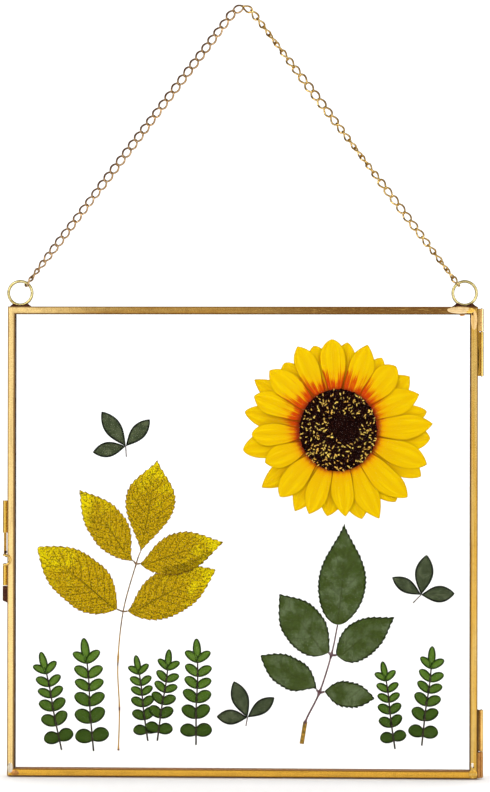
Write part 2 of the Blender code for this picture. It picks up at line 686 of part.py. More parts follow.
def main():
    brass = new_material("aged brass", (0.60, 0.40, 0.13), 0.30, metallic=1.0)
    solder = new_material("dark solder", (0.10, 0.03, 0.015), 0.35, metallic=0.8)
    glass = new_material("clear glass", (0.97, 0.98, 0.98), 0.02, transmission=1.0)
    petal = new_material("yellow petal", (0.88, 0.62, 0.0), 0.55)
    disc = new_material("dark disc", (0.03, 0.012, 0.012), 0.7)
    yellow_leaf = new_material("yellow leaf", (0.52, 0.34, 0.01), 0.6)
    yellow_stalk = new_material("olive stalk", (0.20, 0.14, 0.05), 0.6)
    green_leaf = new_material("green leaf", (0.07, 0.12, 0.03), 0.6)
    green_stalk = new_material("purple stalk", (0.16, 0.05, 0.05), 0.6)
    grey_leaf = new_material("grey green leaf", (0.05, 0.075, 0.04), 0.6)
    small_leaf = new_material("small green leaf", (0.06, 0.14, 0.02), 0.6)

    door = turning_axis("door_hinge", (HINGE_X, 0, FRAME_MIDDLE))
    latch = turning_axis("latch", (CLASP_X, CLASP_Y, CRANK_TOP))

    make_half("back", 1, brass, glass)
    hang_on(door, *make_half("front", -1, brass, glass))
    make_hinge("upper_hinge", UPPER_HINGE, door, brass)
    make_hinge("lower_hinge", LOWER_HINGE, door, brass)
    for name, x, span in (("left", LEFT_RING, LEFT_SOLDER), ("right", RIGHT_RING, RIGHT_SOLDER)):
        finish(ring(name + "_ring", x, RING_WIRE), brass)
        finish(ring_solder(name + "_ring_solder", span, x), solder)
    finish(chain_run("left_chain", -1, left_run_roll), brass)
    finish(chain_run("right_chain", 1, right_run_roll), brass)
    finish(barrel("clasp_upper_barrel", UPPER_BARREL), brass)
    finish(barrel("clasp_lower_barrel", LOWER_BARREL), brass)
    finish(clasp_foot("clasp_foot"), solder)
    hang_on(latch, finish(clasp_wire("clasp_wire"), brass))

    make_sunflower(petal, disc)
    make_compound_leaf("yellow_leaf", YELLOW_LEAF, (YELLOW_TIP_BLADE, YELLOW_SIDE_BLADE),
                       ("upper_right",), yellow_stalk, yellow_leaf)
    make_compound_leaf("green_leaf", GREEN_LEAF, (GREEN_BLADE, GREEN_BLADE), (), green_stalk,
                       green_leaf)
    for name, (joint, foot, leaflets) in THREE_LEAF_SPRIGS.items():
        make_three_leaf_sprig("three_leaf_sprig_" + name, joint, foot, leaflets, grey_leaf)
    for number, (tip, foot) in enumerate(SMALL_SPRIGS, start=1):
        y = FRONT_LAYER if number == 4 else BACK_LAYER
        make_small_sprig(f"small_sprig_{number}", tip, foot, y, small_leaf)


empty_scene()
PARTS = new_collection("Pressed flower frame")
CUTTERS = new_collection("Cutters")
main()
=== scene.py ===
"""Pressed flower frame: the finished pieces, their materials and the studio round them.

X runs across the frame, Y away from the viewer and Z up. The origin is the hanging point of the
chain. Sizes are in metres; places on the face of the frame are given in millimetres across and
up from its middle.
"""

import math
import random

import bmesh
import bpy
from bpy.props import FloatProperty, FloatVectorProperty, IntProperty, PointerProperty
from mathutils import Matrix, Vector, noise


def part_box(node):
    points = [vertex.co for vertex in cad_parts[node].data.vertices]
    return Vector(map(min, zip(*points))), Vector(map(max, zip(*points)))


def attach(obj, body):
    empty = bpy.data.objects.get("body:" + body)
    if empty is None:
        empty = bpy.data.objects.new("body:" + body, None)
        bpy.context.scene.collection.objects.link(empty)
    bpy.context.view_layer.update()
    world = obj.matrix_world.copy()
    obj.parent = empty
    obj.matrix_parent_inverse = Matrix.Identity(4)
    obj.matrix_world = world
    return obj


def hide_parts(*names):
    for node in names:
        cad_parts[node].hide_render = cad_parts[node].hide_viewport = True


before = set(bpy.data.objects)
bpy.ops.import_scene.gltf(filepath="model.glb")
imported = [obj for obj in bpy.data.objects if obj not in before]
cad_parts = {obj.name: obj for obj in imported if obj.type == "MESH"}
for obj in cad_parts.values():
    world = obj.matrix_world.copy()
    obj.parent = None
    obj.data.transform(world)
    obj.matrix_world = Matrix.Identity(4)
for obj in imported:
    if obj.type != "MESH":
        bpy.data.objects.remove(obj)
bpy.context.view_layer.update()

bl_info = {
    "name": "Pressed flower frame",
    "version": (1, 0, 0),
    "blender": (4, 5, 0),
    "location": "3D View > Sidebar > Flower frame",
    "description": "A hanging frame of brass channel with pressed plants between two panes",
    "category": "Add Mesh",
}

MM = 0.001
MERGE = 0.000001
GAP = 0.3 * MM                                  # between neighbouring solids

# The frame, read from the solids
FRAME_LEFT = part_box("front_frame_left")[0].x
FRAME_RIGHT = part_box("front_frame_right")[1].x
FRAME_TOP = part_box("front_frame_top")[1].z
FRAME_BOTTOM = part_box("front_frame_bottom")[0].z
FRAME_HALF = (FRAME_TOP - FRAME_BOTTOM) / 2
FRAME_MIDDLE = (FRAME_TOP + FRAME_BOTTOM) / 2
FRONT_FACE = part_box("front_frame_left")[0].y
BACK_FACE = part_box("back_frame_left")[1].y
MATING_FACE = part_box("back_frame_left")[0].y
CHANNEL_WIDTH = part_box("front_frame_top")[1].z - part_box("front_frame_top")[0].z
CHANNEL_DEPTH = BACK_FACE - MATING_FACE
PANE_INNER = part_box("back_glass")[0].y
PANE_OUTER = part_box("back_glass")[1].y
PANE_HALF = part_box("back_glass")[1].x
FLANGE = BACK_FACE - PANE_OUTER - GAP           # brass in front of a pane
INNER_LIP = PANE_INNER - MATING_FACE - GAP
GROOVE_FLOOR = 1.2 * MM                         # from the outside of a channel

# Rings, chain, hinges and clasp, as the solids have them
RING_MIDDLE = {"left": (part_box("left_ring")[0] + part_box("left_ring")[1]) / 2,
               "right": (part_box("right_ring")[0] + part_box("right_ring")[1]) / 2}
RING_OUTER = (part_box("left_ring")[1].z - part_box("left_ring")[0].z) / 2
LINK_PITCH = 5.34 * MM
LINK_LENGTH = 7.0 * MM
LINK_WIDTH = 5.1 * MM
END_LINK_SHARE = 0.92                           # the links at both ends of a run are narrower
END_LINKS = 12
LINK_SOLID_WIRE = 0.5 * MM
# The two runs meet link in link, each this far past the hanging point
TOP_LINK_OVERLAP = {-1: 0.75 * MM, 1: 1.3 * MM}
LEFT_RUN_TURNING = 6
LINKS_IN_RUN = 35
TOP_LINK_SLOPE = 25
HINGE_X = (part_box("upper_hinge_pin")[0].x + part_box("upper_hinge_pin")[1].x) / 2
HINGE_TUBE = 1.04 * MM
HINGE_BORE = 0.75 * MM
CLASP_X = FRAME_LEFT - 1.8 * MM
CLASP_Y = 1.6 * MM
CLASP_TUBE = 1.25 * MM
CLASP_BORE = 0.85 * MM
CLASP_WIRE = 0.6 * MM
WIRE_TOP = -265.0 * MM
WIRE_BOTTOM = -308.0 * MM
CRANK_TOP = -292.4 * MM
CRANK_RADIUS = 2.55 * MM
CRANK_REACH = 0.9 * MM
CRANK_CORNER = 1.0 * MM

# Solder on the door's corners: kind, place on the face in mm, half width and half height
CORNER_SOLDER = [
    ("cream", 115.5, 123.2, 7.0, 1.9), ("yellow", 120.6, 123.0, 2.6, 1.5),
    ("blush", 122.9, 117.8, 1.7, 5.2), ("dark", 114.2, 123.4, 1.3, 0.45),
    ("dark", 122.2, 121.0, 0.5, 0.9), ("copper", 116.6, 120.5, 1.4, 0.45),
    ("silver", -123.2, -120.6, 1.5, 2.8),
    ("copper", -120.6, -123.2, 2.2, 1.4), ("silver", 122.3, -117.9, 0.7, 1.3),
    ("yellow", 122.6, -122.6, 2.3, 2.3), ("dark", 122.9, -118.9, 0.35, 0.5),
]

# Layers of the pressed plants, in mm away from the viewer
BACK_LAYER = 0.75
FRONT_LAYER = 0.05
STALK_LAYER = 0.5

# Sunflower: its middle, and petals as (direction in degrees, reach in mm)
SUNFLOWER_PLACE = Vector((51.0, 59.4))
DISC_RADIUS = 20.6
DISC_STRETCH = 1.06
FLORETS = 760
QUIET_MIDDLE = Vector((4.2, 1.4))               # the bare part of the disc, from its middle
QUIET_RADIUS = 7.2
PETAL_ROOT = 14.0
PETAL_WIDTH = 13.1
FRONT_PETALS = [
    (94, 48.5), (116, 49.5), (139, 48.4), (158, 48.3), (183, 46.1), (204, 42.6), (229, 47.0),
    (251, 47.3), (275, 46.1), (295, 51.8), (316, 51.2), (339, 50.5), (4, 50.4), (24, 47.1),
    (48, 45.8), (71, 48.1),
]
BACK_PETALS = [
    (106, 46.7), (129, 45.8), (149, 52.1), (169, 50.6), (192, 51.7), (217, 50.9), (242, 48.9),
    (263, 46.1), (285, 48.9), (309, 48.8), (331, 50.4), (355, 49.1), (12, 48.1), (37, 47.6),
    (59, 45.0), (84, 47.0),
]

# Compound leaves: stalk from foot to tip, pairs of side stalks, and each leaflet as (where it
# joins, tip, width, blade form, how far its base leans to the left, bow to the left).
# A blade form tells where it is widest from its base, how slender its base and its tip are and
# how drawn out its point is
YELLOW_LEAF = {
    "stalk": [(-65.8, -111.6), (-65.3, -89.3), (-66.2, -65.6), (-63.4, -37.5), (-56.5, -12.1),
              (-54.2, -5.5)],
    "pairs": [[(-66.7, -36.3), (-63.4, -37.5), (-61.1, -37.3)],
              [(-57.9, -10.5), (-56.5, -12.1), (-54.4, -11.9)]],
    "leaflets": {
        "tip": ((-54.2, -5.5), (-45.3, 43.2), 26.4, (0.55, 1.03, 0.62, 0.85), -0.2, -0.3),
        "upper_left": ((-57.9, -10.5), (-86.9, 27.1), 20.3, (0.43, 1.4, 0.42, 0.85), 1.5, -0.3),
        "upper_right": ((-54.4, -11.9), (-9.9, -0.3), 21.5, (0.46, 0.99, 0.70, 0.67), -1.4, 0.4),
        "lower_left": ((-66.7, -36.3), (-109.1, -3.6), 26.8, (0.38, 1.2, 0.22, 0.85), 0.7, -0.2),
        "lower_right": ((-61.1, -37.3), (-14.2, -15.1), 24.3, (0.43, 1.1, 0.32, 0.85), -1.6, -0.3),
    },
}
GREEN_LEAF = {
    "stalk": [(31.9, -107.5), (33.8, -95.9), (41.3, -80.2), (47.6, -60.2), (50.9, -44.2)],
    "pairs": [[(39.8, -78.8), (41.3, -80.2), (43.9, -79.8)],
              [(46.2, -58.9), (47.6, -60.2), (50.4, -60.3)]],
    "leaflets": {
        "tip": ((50.9, -44.2), (54.3, 9.9), 25.4, (0.42, 0.67, 1.14, 0.27), 0.2, -1.1),
        "upper_left": ((46.2, -58.9), (19.9, -28.0), 22.4, (0.44, 0.75, 0.40, 0.85), 1.8, 1.0),
        "upper_right": ((50.4, -60.3), (81.1, -40.0), 19.5, (0.39, 0.81, 0.71, 0.58), -1.3, 0.2),
        "lower_left": ((39.8, -78.8), (10.0, -60.8), 16.9, (0.41, 1.6, 0.25, 0.85), -1.1, -0.1),
        "lower_right": ((43.9, -79.8), (70.5, -83.2), 13.8, (0.40, 1.3, 0.25, 0.85), 0.4, 0.1),
    },
}
# Forms of the other blades
THREE_LEAF_BLADE = (0.55, 0.85, 0.8, 0.0)
ROUND_BLADE = (0.54, 0.42, 0.45, 0.0)
LONG_BLADE = (0.56, 0.55, 0.45, 0.0)
PETAL_BLADE = (0.66, 0.34, 0.62, 0.0)
POINT_START = 0.6                               # a drawn-out tip starts here along the blade

# Three-leaf sprigs: joint, foot of the stalk, and each leaflet as (tip, width)
THREE_LEAF_SPRIGS = {
    "left": ((-62.2, 50.6), (-61.9, 44.9),
             [((-75.1, 69.0), 9.2), ((-49.4, 64.9), 8.1), ((-79.8, 47.3), 8.2)]),
    "right": ((95.2, -28.0), (90.9, -32.4),
              [((98.2, -6.8), 9.8), ((79.9, -18.8), 7.6), ((113.0, -27.3), 9.0)]),
    "middle": ((3.0, -93.7), (2.2, -98.3),
               [((-4.3, -74.5), 9.2), ((17.3, -83.0), 7.6), ((-13.4, -93.4), 8.2)]),
}

# Small sprigs as (tip, foot of the stem)
SMALL_SPRIGS = [
    ((-107.5, -59.3), (-96.2, -111.6)),
    ((-84.6, -51.8), (-79.1, -112.1)),
    ((-56.7, -60.8), (-50.1, -106.5)),
    ((-38.8, -57.5), (-45.0, -106.3)),
    ((-24.3, -51.8), (-24.4, -108.5)),
    ((74.7, -63.5), (81.5, -110.0)),
    ((101.2, -55.3), (95.7, -108.1)),
]
FRONT_SPRIG = 4                                 # this one lies over its neighbour
TIP_LEAF_SHARE = 0.218
STEM_BOW = 0.014
# Pairs of leaves from the top: (place down the stem, length, width) over the sprig's height,
# then the left and the right leaf's slope above the level, in degrees
SPRIG_PAIRS = [
    (0.218, 0.152, 0.081, 39, 38),
    (0.347, 0.152, 0.091, 40, 31),
    (0.460, 0.150, 0.091, 38, 29),
    (0.590, 0.160, 0.107, 39, 31),
    (0.738, 0.162, 0.119, 35, 39),
    (0.886, 0.154, 0.131, 12, 14),
]


# Sizes and colours that a user would change

class BrassSettings(bpy.types.PropertyGroup):
    """The brass channel, its corners, rings and hinges."""

    pale: FloatVectorProperty(
        name="Pale brass", description="Colour of the brass where it is bright",
        subtype="COLOR", size=3, min=0, max=1, default=(0.80, 0.58, 0.24))
    deep: FloatVectorProperty(
        name="Deep brass", description="Colour of the brass where it has aged",
        subtype="COLOR", size=3, min=0, max=1, default=(0.72, 0.39, 0.05))
    brown: FloatVectorProperty(
        name="Brown patina", description="Colour of the brown marks on the brass",
        subtype="COLOR", size=3, min=0, max=1, default=(0.17, 0.075, 0.018))
    # dark lines along the edges of the brass are painted reflection
    edge: FloatVectorProperty(
        name="Dark edges", description="Colour of the dark lines along the edges",
        subtype="COLOR", size=3, min=0, max=1, default=(0.105, 0.042, 0.008))
    solder: FloatVectorProperty(
        name="Solder", description="Colour of the dark solder under the rings",
        subtype="COLOR", size=3, min=0, max=1, default=(0.048, 0.012, 0.005))
    roughness: FloatProperty(
        name="Roughness", description="How matt the brass is", min=0.05, max=1, default=0.24)
    rounding: FloatProperty(
        name="Rounding", description="Radius of a channel's long outer edges",
        subtype="DISTANCE", unit="LENGTH", min=0.1 * MM, max=0.6 * MM, default=0.45 * MM)
    crown: FloatProperty(
        name="Crown", description="How far the middle of a channel's face stands proud",
        subtype="DISTANCE", unit="LENGTH", min=0, max=0.2 * MM, default=0.06 * MM)


class ChainSettings(bpy.types.PropertyGroup):
    """The chain and the two rings that it hangs from."""

    wire: FloatProperty(
        name="Link wire", description="Radius of the wire of a link", subtype="DISTANCE",
        unit="LENGTH", min=0.3 * MM, max=0.55 * MM, default=0.55 * MM)
    link_twist: FloatProperty(
        name="Link twist", description="How far each end of a link is turned", subtype="ANGLE",
        unit="ROTATION", min=0, max=math.radians(60), default=math.radians(45))
    right_turn: FloatProperty(
        name="Turn of the right run", description="How far the right run turns with each link",
        subtype="ANGLE", unit="ROTATION", min=0, max=math.radians(30),
        default=math.radians(12.6))
    right_start: FloatProperty(
        name="Start of the right run", description="Turn of the right run's link at the ring",
        subtype="ANGLE", unit="ROTATION", min=0, max=math.pi, default=math.radians(66))
    ring_wire: FloatProperty(
        name="Ring wire", description="Radius of the wire of a ring", subtype="DISTANCE",
        unit="LENGTH", min=0.5 * MM, max=0.9 * MM, default=0.775 * MM)


class FlowerSettings(bpy.types.PropertyGroup):
    """The sunflower."""

    petal: FloatVectorProperty(
        name="Petal", description="Colour of the petals", subtype="COLOR", size=3, min=0, max=1,
        default=(0.70, 0.48, 0.0))
    flame: FloatVectorProperty(
        name="Flame", description="Colour of the flames at the roots of the petals",
        subtype="COLOR", size=3, min=0, max=1, default=(0.46, 0.030, 0.001))
    disc: FloatVectorProperty(
        name="Disc", description="Colour of the disc", subtype="COLOR", size=3, min=0, max=1,
        default=(0.005, 0.001, 0.001))
    grain: FloatVectorProperty(
        name="Grains", description="Colour of the pollen grains on the disc", subtype="COLOR",
        size=3, min=0, max=1, default=(0.90, 0.64, 0.10))
    grains: IntProperty(
        name="Number of grains", description="Pollen grains on the disc", min=0, max=800,
        default=310)
    rib_depth: FloatProperty(
        name="Rib depth", description="Height of the ribs along a petal", subtype="DISTANCE",
        unit="LENGTH", min=0, max=0.2 * MM, default=0.07 * MM)


class LeafSettings(bpy.types.PropertyGroup):
    """The leaves and the sprigs."""

    yellow: FloatVectorProperty(
        name="Yellow leaf", description="Colour of the yellow leaf", subtype="COLOR", size=3,
        min=0, max=1, default=(0.56, 0.37, 0.002))
    lemon: FloatVectorProperty(
        name="Leaf tips", description="Colour of the yellow leaf towards its tips",
        subtype="COLOR", size=3, min=0, max=1, default=(0.78, 0.66, 0.0))
    green: FloatVectorProperty(
        name="Green leaf", description="Colour of the green leaf", subtype="COLOR", size=3,
        min=0, max=1, default=(0.058, 0.084, 0.017))
    grey_green: FloatVectorProperty(
        name="Three-leaf sprigs", description="Colour of the three-leaf sprigs",
        subtype="COLOR", size=3, min=0, max=1, default=(0.048, 0.060, 0.028))
    small_green: FloatVectorProperty(
        name="Small sprigs", description="Colour of the small sprigs", subtype="COLOR", size=3,
        min=0, max=1, default=(0.058, 0.108, 0.008))
    thickness: FloatProperty(
        name="Thickness", description="Thickness of a pressed leaf", subtype="DISTANCE",
        unit="LENGTH", min=0.1 * MM, max=0.4 * MM, default=0.26 * MM)
    vein_depth: FloatProperty(
        name="Vein depth", description="Depth of the veins in a leaf", subtype="DISTANCE",
        unit="LENGTH", min=0, max=0.15 * MM, default=0.06 * MM)
    tooth: FloatProperty(
        name="Tooth", description="Height of the teeth along a leaf's margin",
        subtype="DISTANCE", unit="LENGTH", min=0, max=1.0 * MM, default=0.5 * MM)


class StageSettings(bpy.types.PropertyGroup):
    """The studio."""

    distance: FloatProperty(
        name="Camera distance", description="From the camera to the face of the frame",
        subtype="DISTANCE", unit="LENGTH", min=0.5, max=3, default=1.4)
    backdrop: FloatProperty(
        name="Backdrop", description="Brightness of the white backdrop", min=0, max=4,
        default=1.25)
    studio: FloatProperty(
        name="Studio light", description="Brightness of the light round the frame", min=0,
        max=4, default=0.95)
    behind: FloatProperty(
        name="Light from behind", description="Brightness behind the frame, over the front",
        min=0, max=4, default=1.9)
    key: FloatProperty(
        name="Key light", description="Power of the large lamp on the left", subtype="POWER",
        unit="POWER", min=0, max=100, default=11)


class FlowerFrameSettings(bpy.types.PropertyGroup):
    """All settings of the frame."""

    brass: PointerProperty(name="Brass", type=BrassSettings)
    chain: PointerProperty(name="Chain", type=ChainSettings)
    flower: PointerProperty(name="Sunflower", type=FlowerSettings)
    leaf: PointerProperty(name="Leaves", type=LeafSettings)
    stage: PointerProperty(name="Stage", type=StageSettings)


def settings():
    return bpy.context.scene.pressed_flower_frame


# Pieces

def on_face(place, y=0.0):
    """A place on the face in mm, at a depth in mm, as a point of the scene."""
    return Vector((place[0] * MM, y * MM, FRAME_MIDDLE + place[1] * MM))


def in_scene(name, shape, materials):
    """Makes an object from a shape, which is used up."""
    mesh = bpy.data.meshes.new(name)
    shape.to_mesh(mesh)
    shape.free()
    for material in materials:
        mesh.materials.append(material)
    item = bpy.data.objects.new(name, mesh)
    bpy.context.scene.collection.objects.link(item)
    return item


def piece(name, shape, materials, body, solids=(), sharp=40):
    """Makes a finished piece from a shape, which rides on a body and stands for its solids."""
    item = in_scene(name, shape, materials)
    item.data.shade_smooth()
    item.data.set_sharp_from_angle(angle=math.radians(sharp))
    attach(item, body)
    if solids:
        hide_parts(*solids)
    return item


def finish_from(shape, count, index=1):
    """Gives the faces made since there were count of them another of the piece's materials."""
    shape.faces.ensure_lookup_table()
    for face in shape.faces[count:]:
        face.material_index = index


def round_edges(shape, edges, radius, segments):
    """Rounds edges of a shape."""
    bmesh.ops.bevel(shape, geom=edges, offset=radius, segments=segments, profile=0.5,
                    affect="EDGES", material=-1, offset_type="OFFSET")


def fill_ends(shape):
    """Closes every open loop of edges of a shape."""
    open_edges = [edge for edge in shape.edges if edge.is_boundary]
    bmesh.ops.holes_fill(shape, edges=open_edges, sides=0)


def smooth_path(points, steps=8):
    """Points along a smooth curve through the given ones."""
    points = [Vector(point) for point in points]
    ends = [points[0] * 2 - points[1], *points, points[-1] * 2 - points[-2]]
    path = []
    for before, start, end, after in zip(ends, ends[1:], ends[2:], ends[3:]):
        for step in range(steps):
            share = step / steps
            bend = (2 * before - 5 * start + 4 * end - after) * share ** 2
            sway = (3 * start - before - 3 * end + after) * share ** 3
            path.append((2 * start + (end - before) * share + bend + sway) / 2)
    path.append(points[-1])
    return path


def rounded_path(points, radius, steps=6):
    """The same path with each corner replaced by a short curve."""
    points = [Vector(point) for point in points]
    path = [points[0]]
    for before, corner, after in zip(points, points[1:], points[2:]):
        start = corner + (before - corner).normalized() * radius
        end = corner + (after - corner).normalized() * radius
        for step in range(steps + 1):
            share = step / steps
            path.append(start.lerp(corner, share).lerp(corner.lerp(end, share), share))
    path.append(points[-1])
    return path


def add_rod(shape, path, radii, sides=10):
    """A closed round rod along a path, rolled up from a flat grid."""
    count = len(path)
    if isinstance(radii, float):
        radii = [radii] * count
    along = [(path[min(i + 1, count - 1)] - path[max(i - 1, 0)]).normalized() for i in range(count)]
    frames = [Vector((0, 0, 1)).rotation_difference(along[0]).to_matrix()]
    for before, after in zip(along, along[1:]):
        frames.append(before.rotation_difference(after).to_matrix() @ frames[-1])
    grid = bmesh.ops.create_grid(shape, x_segments=count - 1, y_segments=sides, size=0.5)["verts"]
    for vertex in grid:
        step = round((vertex.co.x + 0.5) * (count - 1))
        angle = math.tau * round((vertex.co.y + 0.5) * sides) / sides
        around = Vector((math.cos(angle), math.sin(angle), 0)) * radii[step]
        vertex.co = path[step] + frames[step] @ around
    bmesh.ops.remove_doubles(shape, verts=grid, dist=MERGE)
    fill_ends(shape)
    bmesh.ops.recalc_face_normals(shape, faces=shape.faces)


def add_mound(shape, place, size, segments):
    """A smooth lump: a sphere stretched to the given half sizes."""
    made = bmesh.ops.create_uvsphere(shape, u_segments=segments, v_segments=segments // 2,
                                     radius=1.0)["verts"]
    stretch = Matrix.Translation(place) @ Matrix.Diagonal((*size, 1))
    bmesh.ops.transform(shape, matrix=stretch, verts=made)
    return made


# Each axis reads the noise at a place of its own
NOISE_SHIFTS = (Vector((9.321, -1.531, -7.951)), Vector((0, 0, 0)), Vector((6.327, 0.1671, -2.672)))


def roughen(verts, amount, grain, seed=0.0):
    """Moves points by smooth noise, for a surface made by hand."""
    for vertex in verts:
        place = vertex.co / grain + Vector((seed, seed, seed))
        vertex.co += Vector([noise.noise(place + shift) for shift in NOISE_SHIFTS]) * amount


# Materials

class Nodes:
    """A node tree under construction. Each call adds a node and returns what it gives out."""

    def __init__(self, tree):
        self.tree = tree

    def join(self, value, socket):
        if isinstance(value, bpy.types.NodeSocket):
            self.tree.links.new(value, socket)
        elif socket.type == "RGBA" and len(value) == 3:
            socket.default_value = (*value, 1.0)
        else:
            socket.default_value = value

    def node(self, kind, inputs=(), **options):
        made = self.tree.nodes.new("ShaderNode" + kind)
        for option, value in options.items():
            setattr(made, option, value)
        for index, value in inputs:
            self.join(value, made.inputs[index])
        return made

    def axis(self, vector, letter):
        return self.node("SeparateXYZ", [(0, vector)]).outputs[letter]

    def math(self, operation, *values):
        return self.node("Math", enumerate(values), operation=operation).outputs[0]

    def plus(self, first, second):
        return self.math("ADD", first, second)

    def minus(self, first, second):
        return self.math("SUBTRACT", first, second)

    def times(self, first, second):
        return self.math("MULTIPLY", first, second)

    def over(self, first, second):
        return self.math("DIVIDE", first, second)

    def most(self, first, second):
        return self.math("MAXIMUM", first, second)

    def ramp(self, value, low, high, bottom=0.0, top=1.0):
        """A smooth step from one number to another between two bounds."""
        return self.node("MapRange", [("Value", value), ("From Min", low), ("From Max", high),
                                      ("To Min", bottom), ("To Max", top)],
                         interpolation_type="SMOOTHSTEP").outputs[0]


class Finish(Nodes):
    """A material under construction."""

    def __init__(self, name, **sockets):
        self.material = bpy.data.materials.new(name)
        self.material.use_nodes = True
        super().__init__(self.material.node_tree)
        self.shader = self.tree.nodes["Principled BSDF"]
        for socket, value in sockets.items():
            self.set(socket, value)

    def set(self, socket, value):
        """Gives one of the shader's sockets a value or joins an output to it."""
        self.join(value, self.shader.inputs[socket.replace("_", " ").title()
                                            .replace("Ior", "IOR")])

    def stretched(self, vector, scale, location=(0, 0, 0)):
        return self.node("Mapping", [("Vector", vector), ("Location", location),
                                     ("Scale", scale)]).outputs[0]

    def place(self, scale=(1, 1, 1), location=(0, 0, 0)):
        """Object coordinates, moved and stretched."""
        return self.stretched(self.node("TexCoord").outputs["Object"], scale, location)

    def chart(self):
        """The piece's own map."""
        return self.node("UVMap", uv_map="UVMap").outputs[0]

    def attribute(self, name):
        return self.node("Attribute", attribute_name=name).outputs["Fac"]

    def noise(self, vector, detail=3.0, roughness=0.5, distortion=0.0):
        return self.node("TexNoise", [("Vector", vector), ("Scale", 1.0), ("Detail", detail),
                                      ("Roughness", roughness),
                                      ("Distortion", distortion)]).outputs["Fac"]

    def grain(self, per_mm, location=(0, 0, 0), **options):
        """Noise that is as fine in all directions, at a number of grains to the mm."""
        return self.noise(self.place((per_mm / MM,) * 3, location), **options)

    def mix(self, share, first, second, blend="MIX"):
        made = self.node("Mix", data_type="RGBA", blend_type=blend)
        self.join(share, made.inputs[0])
        self.join(first, made.inputs[6])
        self.join(second, made.inputs[7])
        return made.outputs[2]

    def bump(self, height, distance):
        made = self.node("Bump", [("Height", height), ("Distance", distance), ("Strength", 1.0)])
        self.join(made.outputs[0], self.shader.inputs["Normal"])


def brass(name, pale, deep, patina=0.25, along="Z", turns_brown=None, roughness=None,
          edges=None, whole_depth=False, painted_shade=None):
    """Aged brass with streaks along one axis.

    turns_brown is (from, to) across the frame, where mottled brown grows in, partly patina and
    partly painted reflection; edges is (axis, low, high) of a strip whose two long edges get dark
    lines of painted reflection, near its face or over its whole depth; the last argument is
    (colour, low, high) of painted shade by the layer tone.
    """
    look = settings().brass
    finish = Finish(name, metallic=1.0)
    slow, fast = 0.05, 1.4
    stretch = [slow if letter == along else fast for letter in "XYZ"]
    streaks = finish.noise(finish.place([value / MM for value in stretch]), detail=4)
    bands = finish.noise(finish.place([value / MM / 3 for value in stretch], (7, 3, 5)), detail=2)
    blotches = finish.grain(0.35, detail=5, roughness=0.65)
    color = finish.mix(finish.ramp(bands, 0.35, 0.65), pale, deep)
    color = finish.mix(finish.ramp(streaks, 0.45, 0.8, 0.0, 0.35), color, look.brown)
    brown = finish.ramp(blotches, 0.42, 0.72, 0.0, patina)
    if turns_brown:
        # mottled brown growing across the frame: partly patina, partly painted reflection
        mottle = finish.noise(finish.place([value / MM * 1.6 for value in (0.12, 0.6, 0.9)]),
                              detail=6, roughness=0.7)
        across = finish.axis(finish.place(), "X")
        grows = finish.ramp(across, *turns_brown)
        mottled = finish.times(finish.ramp(mottle, 0.30, 0.52), grows)
        brown = finish.most(brown, finish.times(mottled, 0.92))
        # painted reflection: pale brass towards the left end of the strip
        color = finish.mix(finish.ramp(across, FRAME_LEFT + 2 * MM, FRAME_LEFT + 60 * MM),
                           look.pale, color)
    color = finish.mix(brown, color, look.brown)
    # painted reflection: dark lines along a strip's two long edges
    if edges:
        letter, low, high = edges
        whole = finish.place()
        across = finish.axis(whole, letter)
        near = finish.math("MINIMUM", finish.minus(across, low), finish.minus(high, across))
        near = finish.minus(near, finish.times(bands, 0.3 * MM))
        deep_in = finish.math("ABSOLUTE", finish.axis(whole, "Y"))
        line = finish.ramp(near, 0.12 * MM, 0.75 * MM, 0.9, 0.0)
        if not whole_depth:
            line = finish.times(line, finish.ramp(
                deep_in, BACK_FACE - 1.4 * MM, BACK_FACE - 0.6 * MM))
        color = finish.mix(line, color, look.edge)
    # painted shade: darker where the layer tone is high
    if painted_shade:
        tint, low, high = painted_shade
        line = finish.ramp(finish.attribute("tone"), low, high)
        color = finish.mix(line, color, tint)
    if edges or painted_shade:
        finish.set("metallic", finish.minus(1.0, line))
        finish.set("specular_ior_level", 0.05)
    finish.set("base_color", color)
    rough = look.roughness if roughness is None else roughness
    scuffs = finish.grain(2.2, detail=4)
    finish.set("roughness", finish.ramp(scuffs, 0.3, 0.75, rough * 0.8, rough * 1.6))
    finish.bump(finish.plus(streaks, finish.times(scuffs, 0.5)), 0.02 * MM)
    return finish.material


def dark_inside(name="channel inside", dark=(0.026, 0.008, 0.001), light=(0.075, 0.028, 0.004)):
    """The dark brown inside of the channels, painted shade; also used for other shaded places."""
    finish = Finish(name, specular_ior_level=0.1)
    grain = finish.grain(0.8, detail=4)
    finish.set("base_color", finish.mix(grain, dark, light))
    finish.set("roughness", finish.ramp(grain, 0.3, 0.7, 0.35, 0.55))
    return finish.material


def dark_solder():
    look = settings().brass
    finish = Finish("dark solder", metallic=0.4, specular_ior_level=0.15)
    grain = finish.grain(0.9, detail=5, roughness=0.6)
    glint = finish.ramp(grain, 0.58, 0.85, 0.0, 0.8)
    finish.set("base_color", finish.mix(glint, look.solder, look.deep))
    finish.set("roughness", finish.ramp(grain, 0.3, 0.8, 0.22, 0.5))
    finish.bump(grain, 0.12 * MM)
    return finish.material


def clear_glass():
    """Clear picture glass with a treated face that gives little back."""
    finish = Finish("clear glass", base_color=(0.985, 0.992, 0.99), roughness=0.0, ior=1.5,
                    transmission_weight=1.0)
    finish.set("specular_tint", (0.02, 0.02, 0.02))
    return finish.material


# Brass frame

def channel_section():
    """Points of a channel's section: inwards from its outside, then outwards from its back."""
    width, depth = CHANNEL_WIDTH, CHANNEL_DEPTH
    crown = settings().brass.crown
    face = []
    for step in range(7):
        share = step / 6
        face.append((width * share, depth - crown * (1 - math.sin(math.pi * share))))
    return [(0, 0), *face, (width, depth - FLANGE), (GROOVE_FLOOR, depth - FLANGE),
            (GROOVE_FLOOR, INNER_LIP), (width, INNER_LIP), (width, 0)]


